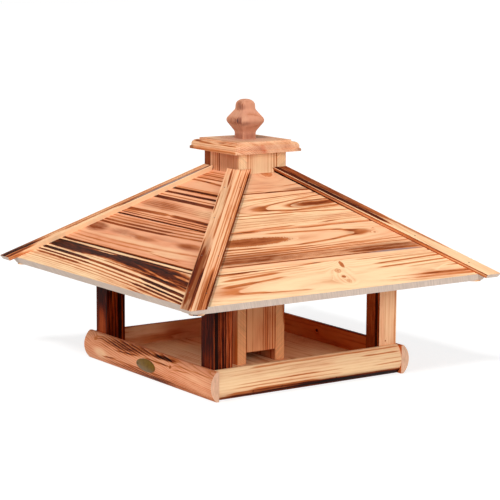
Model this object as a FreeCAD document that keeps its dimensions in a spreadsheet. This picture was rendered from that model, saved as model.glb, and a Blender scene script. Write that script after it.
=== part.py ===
import FreeCAD, Part
import math
import os

import Sketcher
from FreeCAD import Placement, Rotation, Vector

# Bird table with a hipped board roof, a seed silo through its middle and a lid that lifts off.
# Origin at the middle of the underside, +Z up, millimetres. The front is -Y, the left side is -X.
# Everything is symmetric about X = 0 and Y = 0, so most pieces are made once and mirrored.

SIZES = [
    # Roof: side of the square at the top edge of the eave, pitch in degrees, tongued boards
    ("roof_side", 604),
    ("roof_pitch", 33.5),
    ("eave_height", 181.5),
    ("board_thick", 15),
    ("board_cover", 85),
    ("first_course", 73),
    ("tongue_length", 6),
    ("tongue_thick", 4),
    ("tongue_drop", 5),
    ("tongue_room", 0.6),
    ("tongue_play", 0.15),
    ("board_gap", 0.4),
    ("vee_size", 2.2),
    # Hip covers and the hip rafters under the boards
    ("cover_flange", 20),
    ("cover_thick", 7.5),
    ("cover_overhang", 10),
    ("rafter_width", 24),
    ("rafter_depth", 33),
    ("rafter_tail", 1.5),
    ("rafter_inset", 2),
    # Seed silo: outside size, wall, height of its top and of the feed slots
    ("silo_width", 100),
    ("silo_depth", 104),
    ("silo_wall", 19),
    ("silo_top", 383),
    ("slot_height", 20),
    # Tray: width between the rails, floor, half-round rails, posts
    ("tray_width", 380),
    ("floor_thick", 15),
    ("rail_height", 50),
    ("rail_depth", 16.5),
    ("rail_lip", 5),
    ("post_side", 37),
    # Lid: board with a moulded edge, locating block below it, shaped knob on it
    ("cap_overhang", 19),
    ("cap_thick", 19.5),
    ("cap_bead", 5.5),
    ("cap_quirk", 2.2),
    ("cap_ledge", 16.4),
    ("cap_edge", 12.4),
    ("ovolo_radius", 7.6),
    ("bead_radius", 2),
    ("block_play", 1),
    ("block_thick", 15),
    ("knob_base", 13.2),
    ("knob_base_top", 12.4),
    ("knob_wide", 25.4),
    ("knob_wide_up", 32.5),
    ("knob_neck", 12.7),
    ("knob_neck_up", 51.2),
    ("knob_crown", 11.6),
    ("knob_height", 68.7),
    ("knob_foot_radius", 12),
    ("knob_wide_radius", 9.3),
    ("knob_neck_radius", 9),
    ("knob_crown_radius", 10.5),
    # Bare oval plate on the left rail
    ("plate_length", 60),
    ("plate_height", 22),
    ("plate_thick", 0.8),
    ("plate_along", -5.5),
    ("tack_in", 4),
    # Countersunk screws: thread, head, tip, lengths and places
    ("screw_thread", 4),
    ("screw_head", 8),
    ("screw_cone", 2.4),
    ("screw_tip", 5),
    ("screw_room", 0.05),
    ("floor_screw_long", 48),
    ("rail_screw_long", 46),
    ("rafter_screw_long", 60),
    ("rafter_screw_sink", 8),
    ("silo_screw_long", 40),
    ("block_screw_long", 25),
    ("knob_screw_long", 58),
    ("knob_screw_sink", 4),
    ("rail_screw_low", 20),
    ("rail_screw_high", 36),
    ("rail_screw_aside", 9),
    ("floor_screw_aside", 7),
    ("silo_screw_low", 210),
    ("silo_screw_high", 310),
    ("silo_floor_aside", 32),
    ("block_screw_aside", 20),
    # Wire nails of the boards and fine nails of the hip covers
    ("nail_thick", 2),
    ("nail_head", 4),
    ("nail_long", 30),
    ("nail_aside", 20),
    ("nail_up", 3),
    ("pin_thick", 1.4),
    ("pin_head", 2.4),
    ("pin_long", 18),
    ("pin_aside", 15),
    ("pin_down", 14),
    ("tack_thick", 1.2),
    ("tack_head", 2.8),
    ("tack_long", 7),
]

doc = FreeCAD.newDocument("bird_table")
sheet = doc.addObject("Spreadsheet::Sheet", "Sizes")
for row, (alias, value) in enumerate(SIZES, start=1):
    sheet.set(f"A{row}", alias)
    sheet.set(f"B{row}", str(value))
    sheet.setAlias(f"B{row}", alias)
doc.recompute()
SIZE = dict(SIZES)

# Lengths that several pieces share, as expressions on the sheet
PITCH = "(Sizes.roof_pitch * 1deg)"
HALF_ROOF = "(Sizes.roof_side / 2)"
HALF_WIDTH = "(Sizes.silo_width / 2)"
HALF_DEPTH = "(Sizes.silo_depth / 2)"
HALF_TRAY = "(Sizes.tray_width / 2)"
BOARD_DOWN = f"(Sizes.board_thick / cos{PITCH})"
POST_IN = f"({HALF_TRAY} - Sizes.post_side / 2)"
SLOPE_LENGTH = f"(({HALF_ROOF} - min({HALF_WIDTH}; {HALF_DEPTH})) / cos{PITCH})"

NODES = {}


def keep(name, obj):
    """Give a finished piece its name and put it on the list of pieces."""
    obj.Label = name
    NODES[name] = obj
    return obj


def bind(obj, **expressions):
    """Tie properties of an object to expressions on the sheet."""
    for prop, expression in expressions.items():
        obj.setExpression(prop, expression)
    return obj


def place(obj, at=("0", "0", "0"), axis=None, angle=None, turned=None):
    """Put an object at a point given by expressions, turned about an axis by an expression."""
    if turned is not None:
        obj.Placement = Placement(Vector(), turned)
    if axis is not None:
        obj.Placement = Placement(Vector(), Rotation(axis, 10))
        obj.setExpression("Placement.Rotation.Angle", angle)
    for letter, expression in zip("xyz", at):
        obj.setExpression(f"Placement.Base.{letter}", expression)
    return obj


def draw(body, role, outline):
    """Sketch a closed outline whose corners are pairs of expressions, on a plane of the body."""
    sketch = body.newObject("Sketcher::SketchObject", body.Name + "_sketch")
    plane = next(f for f in body.Origin.OriginFeatures if f.Role == role)
    sketch.AttachmentSupport = [(plane, "")]
    sketch.MapMode = "FlatFace"
    count = len(outline)
    corners = [Vector(*(evaluate(e) for e in pair)) for pair in outline]
    for i in range(count):
        sketch.addGeometry(Part.LineSegment(corners[i], corners[(i + 1) % count]), False)
    for i in range(count):
        sketch.addConstraint(Sketcher.Constraint("Coincident", i, 2, (i + 1) % count, 1))
    for i, pair in enumerate(outline):
        for kind, expression in zip(("DistanceX", "DistanceY"), pair):
            value = corners[i].x if kind == "DistanceX" else corners[i].y
            number = sketch.addConstraint(Sketcher.Constraint(kind, -1, 1, i, 1, value))
            sketch.setExpression(f"Constraints[{number}]", expression)
    return sketch


def evaluate(expression):
    """Value of an expression now, as a plain number."""
    value = sheet.evalExpression(expression)
    return float(getattr(value, "Value", value))


def padded(name, role, outline, length):
    """Body padded both ways from a sketched outline."""
    body = doc.addObject("PartDesign::Body", name)
    sketch = draw(body, role, outline)
    pad = body.newObject("PartDesign::Pad", name + "_pad")
    pad.Profile = sketch
    pad.Midplane = True
    pad.setExpression("Length", length)
    return body


def turned_piece(name, outline):
    """Body turned about its own Z axis from a half section of radius and height pairs."""
    body = doc.addObject("PartDesign::Body", name)
    sketch = draw(body, "XZ_Plane", outline)
    revolution = body.newObject("PartDesign::Revolution", name + "_turn")
    revolution.Profile = sketch
    revolution.ReferenceAxis = (sketch, ["V_Axis"])
    revolution.Angle = 360
    return body


def round_corner(body, corner, radius):
    """Round the edges that a padded outline's corner makes, along the pad."""
    doc.recompute()
    base = body.Tip
    x, z = (evaluate(e) for e in corner)

    def on_corner(edge):
        return all(abs(v.X - x) < 1e-4 and abs(v.Z - z) < 1e-4 for v in edge.Vertexes)

    names = [f"Edge{i}" for i, edge in enumerate(base.Shape.Edges, start=1) if on_corner(edge)]
    fillet = body.newObject("PartDesign::Fillet", body.Name + "_round")
    fillet.Base = (base, names)
    fillet.setExpression("Radius", radius)


def box(name, size, at):
    """Box from three lengths and the place of its lowest corner, all expressions."""
    block = doc.addObject("Part::Box", name)
    bind(block, Length=size[0], Width=size[1], Height=size[2])
    return place(block, at)


def cut(name, base, tool):
    result = doc.addObject("Part::Cut", name)
    result.Base = base
    result.Tool = tool
    return result


def common(name, base, tool):
    result = doc.addObject("Part::Common", name)
    result.Base = base
    result.Tool = tool
    return result


def group(name, pieces):
    result = doc.addObject("Part::Compound", name)
    result.Links = pieces
    return result


def mirrored(name, source, normal):
    result = doc.addObject("Part::Mirroring", name)
    result.Source = source
    result.Normal = Vector(*normal)
    return result


ACROSS_X = (1, 0, 0)
ACROSS_Y = (0, 1, 0)
ACROSS_HIP = (1, -1, 0)


def both_sides(name, pieces, normal):
    """Group of pieces and of their mirror images."""
    half = group(name + "_half", pieces)
    return group(name, [half, mirrored(name + "_other", half, normal)])


def four_corners(name, source):
    """Keep a piece of the front left corner and its images at the other three."""
    keep(f"{name}_front_left", source)
    keep(f"{name}_front_right", mirrored(name + "_fr", source, ACROSS_X))
    keep(f"{name}_back_left", mirrored(name + "_bl", source, ACROSS_Y))
    keep(f"{name}_back_right", mirrored(name + "_br", NODES[f"{name}_front_right"], ACROSS_Y))


# Fasteners. Each is turned with its head's top at its own origin and its shank down its own -Z.


def screw_outline(length, room="0"):
    head = f"(Sizes.screw_head / 2 + {room})"
    thread = f"(Sizes.screw_thread / 2 + {room})"
    return [
        ("0", "0"),
        (head, "0"),
        (thread, "-Sizes.screw_cone"),
        (thread, f"-({length} - Sizes.screw_tip)"),
        ("0", f"-{length}"),
    ]


def nail_outline(kind, length, room="0"):
    head = f"(Sizes.{kind}_head / 2 + {room})"
    shank = f"(Sizes.{kind}_thick / 2 + {room})"
    head_thick = f"(Sizes.{kind}_head / 5)"
    tip = f"(Sizes.{kind}_thick * 1.5)"
    return [
        ("0", "0"),
        (head, "0"),
        (head, f"-{head_thick}"),
        (shank, f"-{head_thick}"),
        (shank, f"-({length} - {tip})"),
        ("0", f"-{length}"),
    ]


def fastener(name, outline, at, **turn):
    """A fastener and the hole it sits in, as a pair."""
    solid = place(turned_piece(name, outline("0")), at, **turn)
    hole = place(turned_piece(name + "_hole", outline("Sizes.screw_room")), at, **turn)
    return solid, hole


def screw(name, length, at, **turn):
    return fastener(name, lambda room: screw_outline(length, room), at, **turn)


def nail(name, kind, at, **turn):
    return fastener(name, lambda room: nail_outline(kind, f"Sizes.{kind}_long", room), at, **turn)


UPWARD = Rotation(Vector(1, 0, 0), 180)
TO_LEFT = Rotation(Vector(0, 1, 0), 90)
TO_FRONT = Rotation(Vector(1, 0, 0), -90)
TO_RIGHT = Rotation(Vector(0, 1, 0), -90)

post_screw, post_screw_hole = screw(
    "floor_post_screw", "Sizes.floor_screw_long",
    (f"-{POST_IN} + Sizes.floor_screw_aside", f"-{POST_IN} + Sizes.floor_screw_aside", "0"),
    turned=UPWARD)
silo_foot_screw, silo_foot_hole = screw(
    "floor_silo_screw", "Sizes.floor_screw_long",
    (f"-{HALF_WIDTH} + Sizes.silo_wall / 2", "-Sizes.silo_floor_aside", "0"), turned=UPWARD)
POST_FACE = f"-{HALF_TRAY} + Sizes.post_side"
left_rail_screw, left_rail_hole = screw(
    "left_rail_screw", "Sizes.rail_screw_long",
    (POST_FACE, f"-{POST_IN} - Sizes.rail_screw_aside", "Sizes.rail_screw_low"), turned=TO_LEFT)
front_rail_screw, front_rail_hole = screw(
    "front_rail_screw", "Sizes.rail_screw_long",
    (f"-{POST_IN} - Sizes.rail_screw_aside", POST_FACE, "Sizes.rail_screw_high"), turned=TO_FRONT)
RIDGE_ABOVE_POST = (f"(Sizes.eave_height + ({HALF_ROOF} - {POST_IN}) * tan{PITCH} - {BOARD_DOWN})")
rafter_screw, rafter_screw_hole = screw(
    "rafter_screw", "Sizes.rafter_screw_long",
    (f"-{POST_IN}", f"-{POST_IN}", f"{RIDGE_ABOVE_POST} - Sizes.rafter_screw_sink"))

silo_screws = []
silo_holes = []
for level in ("low", "high"):
    piece, hole = screw(
        f"silo_screw_{level}", "Sizes.silo_screw_long",
        (f"-{HALF_WIDTH}", f"-{HALF_DEPTH} + Sizes.silo_wall / 2", f"Sizes.silo_screw_{level}"),
        turned=TO_RIGHT)
    silo_screws.append(piece)
    silo_holes.append(hole)

BLOCK_UNDER = "(Sizes.silo_top - Sizes.block_thick)"
block_screw, block_screw_hole = screw(
    "block_screw", "Sizes.block_screw_long",
    ("0", "-Sizes.block_screw_aside", BLOCK_UNDER), turned=UPWARD)
knob_screw, knob_screw_hole = screw(
    "knob_screw", "Sizes.knob_screw_long",
    ("0", "0", f"{BLOCK_UNDER} + Sizes.knob_screw_sink"), turned=UPWARD)

# Floor

floor_blank = box(
    "floor_blank", ("Sizes.tray_width", "Sizes.tray_width", "Sizes.floor_thick"),
    (f"-{HALF_TRAY}", f"-{HALF_TRAY}", "0"))
floor_holes = both_sides(
    "floor_holes", [both_sides("floor_holes_left", [post_screw_hole, silo_foot_hole], ACROSS_Y)],
    ACROSS_X)
keep("floor_panel", cut("floor", floor_blank, floor_holes))

# Rails: half-round mouldings, flat side to the floor's edge, the left and right ones run through

RAIL_ARC = ("((Sizes.rail_height * Sizes.rail_height / 4"
            " + (Sizes.rail_depth - Sizes.rail_lip) * (Sizes.rail_depth - Sizes.rail_lip))"
            " / (2 * (Sizes.rail_depth - Sizes.rail_lip)))")


def half_round(name, length):
    """Moulding along its own Y, flat side at its own X = 0, bulge towards -X, underside at Z = 0."""
    body = doc.addObject("PartDesign::Body", name)
    sketch = body.newObject("Sketcher::SketchObject", name + "_sketch")
    plane = next(f for f in body.Origin.OriginFeatures if f.Role == "XZ_Plane")
    sketch.AttachmentSupport = [(plane, "")]
    sketch.MapMode = "FlatFace"
    lip, high, deep = (SIZE[a] for a in ("rail_lip", "rail_height", "rail_depth"))
    low_in, low_out = Vector(0, 0), Vector(-lip, 0)
    top_out, top_in = Vector(-lip, high), Vector(0, high)
    radius = evaluate(RAIL_ARC)
    swing = math.asin(high / 2 / radius)
    circle = Part.Circle(Vector(radius - deep, high / 2), Vector(0, 0, 1), radius)
    sketch.addGeometry(Part.LineSegment(top_in, low_in), False)
    sketch.addGeometry(Part.LineSegment(low_in, low_out), False)
    sketch.addGeometry(Part.ArcOfCircle(circle, math.pi - swing, math.pi + swing), False)
    sketch.addGeometry(Part.LineSegment(top_out, top_in), False)
    sketch.addConstraint(Sketcher.Constraint("Coincident", 0, 2, 1, 1))
    sketch.addConstraint(Sketcher.Constraint("Coincident", 1, 2, 2, 2))
    sketch.addConstraint(Sketcher.Constraint("Coincident", 3, 1, 2, 1))
    sketch.addConstraint(Sketcher.Constraint("Coincident", 3, 2, 0, 1))
    underside, top_side = 1, 3
    first_end, last_end = 1, 2
    ends = [(underside, first_end, "0", "0"), (underside, last_end, "-Sizes.rail_lip", "0"),
            (top_side, first_end, "-Sizes.rail_lip", "Sizes.rail_height"),
            (top_side, last_end, "0", "Sizes.rail_height")]
    for line, end, x, y in ends:
        for kind, expression in (("DistanceX", x), ("DistanceY", y)):
            number = sketch.addConstraint(
                Sketcher.Constraint(kind, -1, 1, line, end, evaluate(expression)))
            sketch.setExpression(f"Constraints[{number}]", expression)
    number = sketch.addConstraint(Sketcher.Constraint("Radius", 2, radius))
    sketch.setExpression(f"Constraints[{number}]", RAIL_ARC)
    pad = body.newObject("PartDesign::Pad", name + "_pad")
    pad.Profile = sketch
    pad.Midplane = True
    pad.setExpression("Length", length)
    return body


PLATE_OUT = f"({HALF_TRAY} + Sizes.rail_depth)"
tack, tack_hole = nail(
    "tack", "tack",
    (f"-{PLATE_OUT} - Sizes.plate_thick - Sizes.tack_head / 5",
     "Sizes.plate_along + Sizes.plate_length / 2 - Sizes.tack_in", "Sizes.rail_height / 2"),
    turned=TO_RIGHT)
far_tack, far_tack_hole = nail(
    "far_tack", "tack",
    (f"-{PLATE_OUT} - Sizes.plate_thick - Sizes.tack_head / 5",
     "Sizes.plate_along - Sizes.plate_length / 2 + Sizes.tack_in", "Sizes.rail_height / 2"),
    turned=TO_RIGHT)

left_rail_blank = place(
    half_round("left_rail_blank", "Sizes.tray_width + 2 * Sizes.rail_depth"),
    (f"-{HALF_TRAY}", "0", "0"))
left_holes = both_sides("left_rail_holes", [left_rail_hole], ACROSS_Y)
side_rail = cut("side_rail", left_rail_blank, left_holes)
keep("rail_left", cut("left_rail", side_rail, group("tack_holes", [tack_hole, far_tack_hole])))
keep("rail_right", mirrored("right_rail", side_rail, ACROSS_X))
front_rail_blank = place(
    half_round("front_rail_blank", "Sizes.tray_width"), ("0", f"-{HALF_TRAY}", "0"),
    turned=Rotation(Vector(0, 0, 1), 90))
front_holes = both_sides("front_rail_holes", [front_rail_hole], ACROSS_X)
keep("rail_front", cut("front_rail", front_rail_blank, front_holes))
keep("rail_back", mirrored("back_rail", NODES["rail_front"], ACROSS_Y))

# Posts: square, standing on the floor in the corners, their tops cut to the slope of the hip

HIP_RISE = f"(tan{PITCH} / sqrt(2))"
HIP_RUN = f"({HALF_ROOF} * sqrt(2))"
UNDER_HIP = f"(Sizes.eave_height - {BOARD_DOWN})"
OPEN_BELOW = f"({UNDER_HIP} - Sizes.rafter_depth)"


def hip_line(start, run):
    """Height at a distance out from the middle along the hip, of the line that ends at start."""
    return f"({start} + ({HIP_RUN} - {run}) * {HIP_RISE})"


TO_CORNER = Rotation(Vector(0, 0, 1), -135)
above_posts = padded(
    "above_posts", "XZ_Plane",
    [("0", hip_line(OPEN_BELOW, "0")), (HIP_RUN, hip_line(OPEN_BELOW, HIP_RUN)),
     (HIP_RUN, "2 * Sizes.silo_top"), ("0", "2 * Sizes.silo_top")],
    HIP_RUN)
place(above_posts, turned=TO_CORNER)
post_blank = box(
    "post_blank", ("Sizes.post_side", "Sizes.post_side", "Sizes.silo_top"),
    (f"-{HALF_TRAY}", f"-{HALF_TRAY}", "Sizes.floor_thick"))
post = cut("post_sloped", post_blank, above_posts)
post_holes = group("post_holes", [post_screw_hole, left_rail_hole, front_rail_hole, rafter_screw_hole])
four_corners("post", cut("post", post, post_holes))

# Silo: side boards down to the floor, front and back boards that stop above it for the feed slots

silo_side_blank = box(
    "silo_side_blank", ("Sizes.silo_wall", "Sizes.silo_depth", "Sizes.silo_top - Sizes.floor_thick"),
    (f"-{HALF_WIDTH}", f"-{HALF_DEPTH}", "Sizes.floor_thick"))
side_holes = both_sides("silo_side_holes", [silo_foot_hole] + silo_holes, ACROSS_Y)
keep("silo_side_left", cut("silo_left", silo_side_blank, side_holes))
keep("silo_side_right", mirrored("silo_right", NODES["silo_side_left"], ACROSS_X))
SLOT_TOP = "(Sizes.floor_thick + Sizes.slot_height)"
silo_front_blank = box(
    "silo_front_blank",
    ("Sizes.silo_width - 2 * Sizes.silo_wall", "Sizes.silo_wall", f"Sizes.silo_top - {SLOT_TOP}"),
    (f"-{HALF_WIDTH} + Sizes.silo_wall", f"-{HALF_DEPTH}", SLOT_TOP))
front_board_holes = both_sides("silo_front_holes", silo_holes, ACROSS_X)
keep("silo_front", cut("silo_front_board", silo_front_blank, front_board_holes))
keep("silo_back", mirrored("silo_back_board", NODES["silo_front"], ACROSS_Y))
silo_block = box(
    "silo_block", ("Sizes.silo_width", "Sizes.silo_depth", "2 * Sizes.silo_top"),
    (f"-{HALF_WIDTH}", f"-{HALF_DEPTH}", "0"))

# Hip rafters: from the silo's corners over the posts to the eave's corners, tops bevelled both ways

EAVE_IN = f"({HALF_ROOF} - Sizes.board_thick * sin{PITCH})"
EAVE_LOW = f"(Sizes.eave_height - Sizes.board_thick * cos{PITCH})"
RAFTER_END = f"(({EAVE_IN} - Sizes.rafter_inset) * sqrt(2))"
TAIL_LEVEL = f"({EAVE_LOW} - Sizes.rafter_tail)"
TAIL_START = f"({HIP_RUN} - ({TAIL_LEVEL} - {OPEN_BELOW}) / {HIP_RISE})"
rafter_blank = padded(
    "rafter_blank", "XZ_Plane",
    [("0", hip_line(OPEN_BELOW, "0")), (TAIL_START, TAIL_LEVEL), (RAFTER_END, TAIL_LEVEL),
     (RAFTER_END, hip_line("Sizes.eave_height", RAFTER_END)), ("0", hip_line("Sizes.eave_height", "0"))],
    "Sizes.rafter_width")
place(rafter_blank, turned=TO_CORNER)
ROOF_SPREAD = f"({HALF_ROOF} + Sizes.cover_overhang * 4)"
under_roof = doc.addObject("Part::Wedge", "under_roof")
bind(under_roof, Xmin=f"-{ROOF_SPREAD}", Xmax=ROOF_SPREAD, Zmin=f"-{ROOF_SPREAD}", Zmax=ROOF_SPREAD,
     Ymin="0", Ymax=f"({ROOF_SPREAD} - {HALF_WIDTH} / 2) * tan{PITCH}",
     X2min=f"-{HALF_WIDTH} / 2", X2max=f"{HALF_WIDTH} / 2",
     Z2min=f"-{HALF_WIDTH} / 2", Z2max=f"{HALF_WIDTH} / 2")
place(under_roof, ("0", "0", f"{UNDER_HIP} - ({ROOF_SPREAD} - {HALF_ROOF}) * tan{PITCH}"),
      turned=Rotation(Vector(1, 0, 0), 90))
rafter_bevelled = common("rafter_bevelled", rafter_blank, under_roof)
rafter_fitted = cut("rafter_fitted", rafter_bevelled, silo_block)

# Roof boards: each course is one tongued board, drawn in the plane of the front slope,
# mitred at the hips by a wedge-shaped sector and stopped by the silo


def on_front_slope(aside_hip, up, lift="0"):
    """Point of the front slope, a distance along the eave in from the left hip."""
    out = f"({HALF_ROOF} - {up} * cos{PITCH})"
    return (f"-{out} + {aside_hip}",
            f"-{out} - {lift} * sin{PITCH}",
            f"Sizes.eave_height + {up} * sin{PITCH} + {lift} * cos{PITCH}")


SLOPED = dict(axis=Vector(1, 0, 0), angle=PITCH)
FRONT_EAVE = ("0", f"-{HALF_ROOF}", "Sizes.eave_height")


def course_edge(number):
    if number == 0:
        return "0"
    return f"(Sizes.first_course + {number - 1} * Sizes.board_cover)"


def board_outline(number):
    """Section of a course across its length: up the slope, and out from its upper face."""
    low, high = course_edge(number), course_edge(number + 1)
    gap, vee, thick = "Sizes.board_gap / 2", "Sizes.vee_size", "Sizes.board_thick"
    groove_out = "-(Sizes.tongue_drop - Sizes.tongue_play)"
    groove_in = "-(Sizes.tongue_drop + Sizes.tongue_thick + Sizes.tongue_play)"
    groove_deep = f"{low} + {gap} + Sizes.tongue_length + Sizes.tongue_room - Sizes.board_gap"
    tongue_out = "-Sizes.tongue_drop"
    tongue_in = "-(Sizes.tongue_drop + Sizes.tongue_thick)"
    tongue_end = f"{high} - {gap} + Sizes.tongue_length"
    if number == 0:
        lower = [("0", "0"), ("0", f"-{thick}")]
    else:
        lower = [(f"{low} + {gap} + {vee}", "0"), (f"{low} + {gap}", f"-{vee}"),
                 (f"{low} + {gap}", groove_out), (groove_deep, groove_out),
                 (groove_deep, groove_in), (f"{low} + {gap}", groove_in),
                 (f"{low} + {gap}", f"-{thick}")]
    upper = [(f"{high} - {gap}", f"-{thick}"), (f"{high} - {gap}", tongue_in),
             (tongue_end, tongue_in), (tongue_end, tongue_out),
             (f"{high} - {gap}", tongue_out), (f"{high} - {gap}", f"-{vee}"),
             (f"{high} - {gap} - {vee}", "0")]
    return lower + upper


slope_length = evaluate(SLOPE_LENGTH)
COURSES = 1 + math.ceil((slope_length - SIZE["first_course"]) / SIZE["board_cover"])

sector_reach = f"({HALF_ROOF} + Sizes.cover_overhang * 2)"


def sector(name, stop):
    """Upright wedge over the front quarter of the plan, up to a distance from the middle."""
    wedge = padded(
        name, "XY_Plane",
        [(f"-{sector_reach}", f"-{sector_reach}"), (sector_reach, f"-{sector_reach}"),
         (stop, f"-{stop}"), (f"-{stop}", f"-{stop}")],
        "2 * Sizes.silo_top")
    return wedge


front_sector = sector("front_sector", HALF_DEPTH)
side_sector = sector("side_sector", HALF_WIDTH)

nails = []
pins = []
pin_holes = []
for course in range(COURSES):
    top_edge = course_edge(course + 1) if course + 1 < COURSES else SLOPE_LENGTH
    middle = f"(({course_edge(course)} + {top_edge}) / 2)"
    board = place(
        padded(f"course_{course + 1}", "YZ_Plane", board_outline(course), "Sizes.roof_side"),
        FRONT_EAVE, **SLOPED)
    nail_piece, nail_hole = nail(
        f"nail_{course + 1}", "nail",
        on_front_slope("Sizes.nail_aside", f"({middle} + Sizes.nail_up)"), **SLOPED)
    pin_piece, pin_hole = nail(
        f"pin_{course + 1}", "pin",
        on_front_slope("Sizes.pin_aside", f"({middle} - Sizes.pin_down)", "Sizes.cover_thick"),
        **SLOPED)
    nails.append((nail_piece, nail_hole))
    pins.append((pin_piece, pin_hole))
    pin_holes.append(pin_hole)
    holes = both_sides(f"course_{course + 1}_holes", [nail_hole, pin_hole], ACROSS_X)
    bored = cut(f"course_{course + 1}_bored", board, holes)
    front = common(f"front_course_{course + 1}", bored, front_sector)
    side_piece = common(f"side_course_{course + 1}", bored, side_sector)
    left = mirrored(f"left_course_{course + 1}", side_piece, ACROSS_HIP)
    keep(f"roof_front_board_{course + 1}", front)
    keep(f"roof_left_board_{course + 1}", left)
    keep(f"roof_back_board_{course + 1}", mirrored(f"back_course_{course + 1}", front, ACROSS_Y))
    keep(f"roof_right_board_{course + 1}", mirrored(f"right_course_{course + 1}", left, ACROSS_X))

# Nails of the front left hip: those of the front boards and their images in the left boards
nails_at_hip = both_sides("nails_at_hip", [piece for piece, hole in nails], ACROSS_HIP)
nail_holes_at_hip = both_sides("nail_holes_at_hip", [hole for piece, hole in nails], ACROSS_HIP)
rafter_holes = group("rafter_holes", [nail_holes_at_hip, rafter_screw_hole])
four_corners("hip_rafter", cut("rafter", rafter_fitted, rafter_holes))

# Hip covers: an angle moulding over each hip, its ends cut along the eaves and against the silo

FLANGE_ALONG = f"(Sizes.cover_flange * sqrt(1 + cos{PITCH} * cos{PITCH}))"
COVER_FOOT = f"(-Sizes.cover_overhang / cos{PITCH})"
SLOPE_APEX = f"({HALF_ROOF} / cos{PITCH})"


def hip_at(up):
    return f"(-{HALF_ROOF} + {up} * cos{PITCH})"


flange = doc.addObject("PartDesign::Body", "flange")
flange_sketch = draw(flange, "XY_Plane", [
    (f"{hip_at(COVER_FOOT)} - 2 * Sizes.cover_thick", COVER_FOOT),
    (f"{hip_at(COVER_FOOT)} + {FLANGE_ALONG}", COVER_FOOT),
    (f"{hip_at(SLOPE_APEX)} + {FLANGE_ALONG}", SLOPE_APEX),
    (f"{hip_at(SLOPE_APEX)} - 2 * Sizes.cover_thick", SLOPE_APEX)])
flange_pad = flange.newObject("PartDesign::Pad", "flange_pad")
flange_pad.Profile = flange_sketch
bind(flange_pad, Length="Sizes.cover_thick")
place(flange, FRONT_EAVE, **SLOPED)
cover_sector = sector("cover_sector", "0.01")
flange_mitred = common("flange_mitred", flange, cover_sector)
flange_stopped = cut("flange_stopped", flange_mitred, silo_block)
flange_bored = cut("flange_bored", flange_stopped, group("flange_holes", pin_holes))
cover = doc.addObject("Part::Fuse", "cover")
cover.Base = flange_bored
cover.Tool = mirrored("flange_other", flange_bored, ACROSS_HIP)
cover.Refine = True
four_corners("hip_cover", cover)

# Lid: moulded board, block that drops into the silo, square knob shaped alike on all four sides


def moulded(name, half_width, role_width):
    """Board section with the moulded edge at both ends, padded across the other width."""
    edge = [
        ("0", "0", None), ("0", "Sizes.cap_bead", "Sizes.bead_radius"),
        ("Sizes.cap_quirk", "Sizes.cap_bead", None),
        ("Sizes.cap_quirk", "Sizes.cap_ledge", "Sizes.ovolo_radius"),
        ("Sizes.cap_edge", "Sizes.cap_ledge", None),
        ("Sizes.cap_edge", "Sizes.cap_thick", None)]
    left = [(f"-({half_width} - {inward})", up) for inward, up, radius in edge]
    right = [(f"({half_width} - {inward})", up) for inward, up, radius in edge]
    body = padded(name, "XZ_Plane", left + right[::-1], role_width)
    for (inward, up, radius), left_corner, right_corner in zip(edge, left, right):
        if radius is not None:
            round_corner(body, left_corner, radius)
            round_corner(body, right_corner, radius)
    return body


CAP_HALF_X = f"({HALF_WIDTH} + Sizes.cap_overhang)"
CAP_HALF_Y = f"({HALF_DEPTH} + Sizes.cap_overhang)"
cap_across = place(moulded("cap_across", CAP_HALF_X, f"2 * {CAP_HALF_Y}"), ("0", "0", "Sizes.silo_top"))
cap_along = moulded("cap_along", CAP_HALF_Y, f"2 * {CAP_HALF_X}")
place(cap_along, ("0", "0", "Sizes.silo_top"), turned=Rotation(Vector(0, 0, 1), 90))
cap_blank = common("cap_blank", cap_across, cap_along)
block_screw_holes = both_sides("block_screw_holes", [block_screw_hole], ACROSS_Y)
lid_holes = group("lid_holes", [block_screw_holes, knob_screw_hole])
keep("cap_board", cut("cap", cap_blank, lid_holes))

HALF_BLOCK_X = f"({HALF_WIDTH} - Sizes.silo_wall - Sizes.block_play)"
HALF_BLOCK_Y = f"({HALF_DEPTH} - Sizes.silo_wall - Sizes.block_play)"
block_blank = box(
    "block_blank", (f"2 * {HALF_BLOCK_X}", f"2 * {HALF_BLOCK_Y}", "Sizes.block_thick"),
    (f"-{HALF_BLOCK_X}", f"-{HALF_BLOCK_Y}", BLOCK_UNDER))
sink = doc.addObject("Part::Cylinder", "knob_screw_sinking")
bind(sink, Radius="Sizes.screw_head / 2 + Sizes.screw_room", Height="Sizes.knob_screw_sink")
place(sink, ("0", "0", BLOCK_UNDER))
keep("lid_block", cut("block", block_blank, group("block_holes", [lid_holes, sink])))

KNOB_CORNERS = [
    ("Sizes.knob_base", "0", None),
    ("Sizes.knob_base", "Sizes.knob_base_top", "Sizes.knob_foot_radius"),
    ("Sizes.knob_wide", "Sizes.knob_wide_up", "Sizes.knob_wide_radius"),
    ("Sizes.knob_neck", "Sizes.knob_neck_up", "Sizes.knob_neck_radius"),
    ("Sizes.knob_crown", "Sizes.knob_height", "Sizes.knob_crown_radius"),
]
knob_left = [(f"-{out}", up) for out, up, radius in KNOB_CORNERS]
knob_right = [(out, up) for out, up, radius in KNOB_CORNERS]
knob_profile = padded("knob_profile", "XZ_Plane", knob_left + knob_right[::-1], "2 * Sizes.knob_wide")
for (out, up, radius), left_corner, right_corner in zip(KNOB_CORNERS, knob_left, knob_right):
    if radius is not None:
        round_corner(knob_profile, left_corner, radius)
        round_corner(knob_profile, right_corner, radius)
place(knob_profile, ("0", "0", "Sizes.silo_top + Sizes.cap_thick"))
knob_blank = common("knob_blank", knob_profile, mirrored("knob_other", knob_profile, ACROSS_HIP))
keep("finial", cut("finial_bored", knob_blank, knob_screw_hole))

# Bare oval plate, bent to the bulge of the left rail

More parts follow.
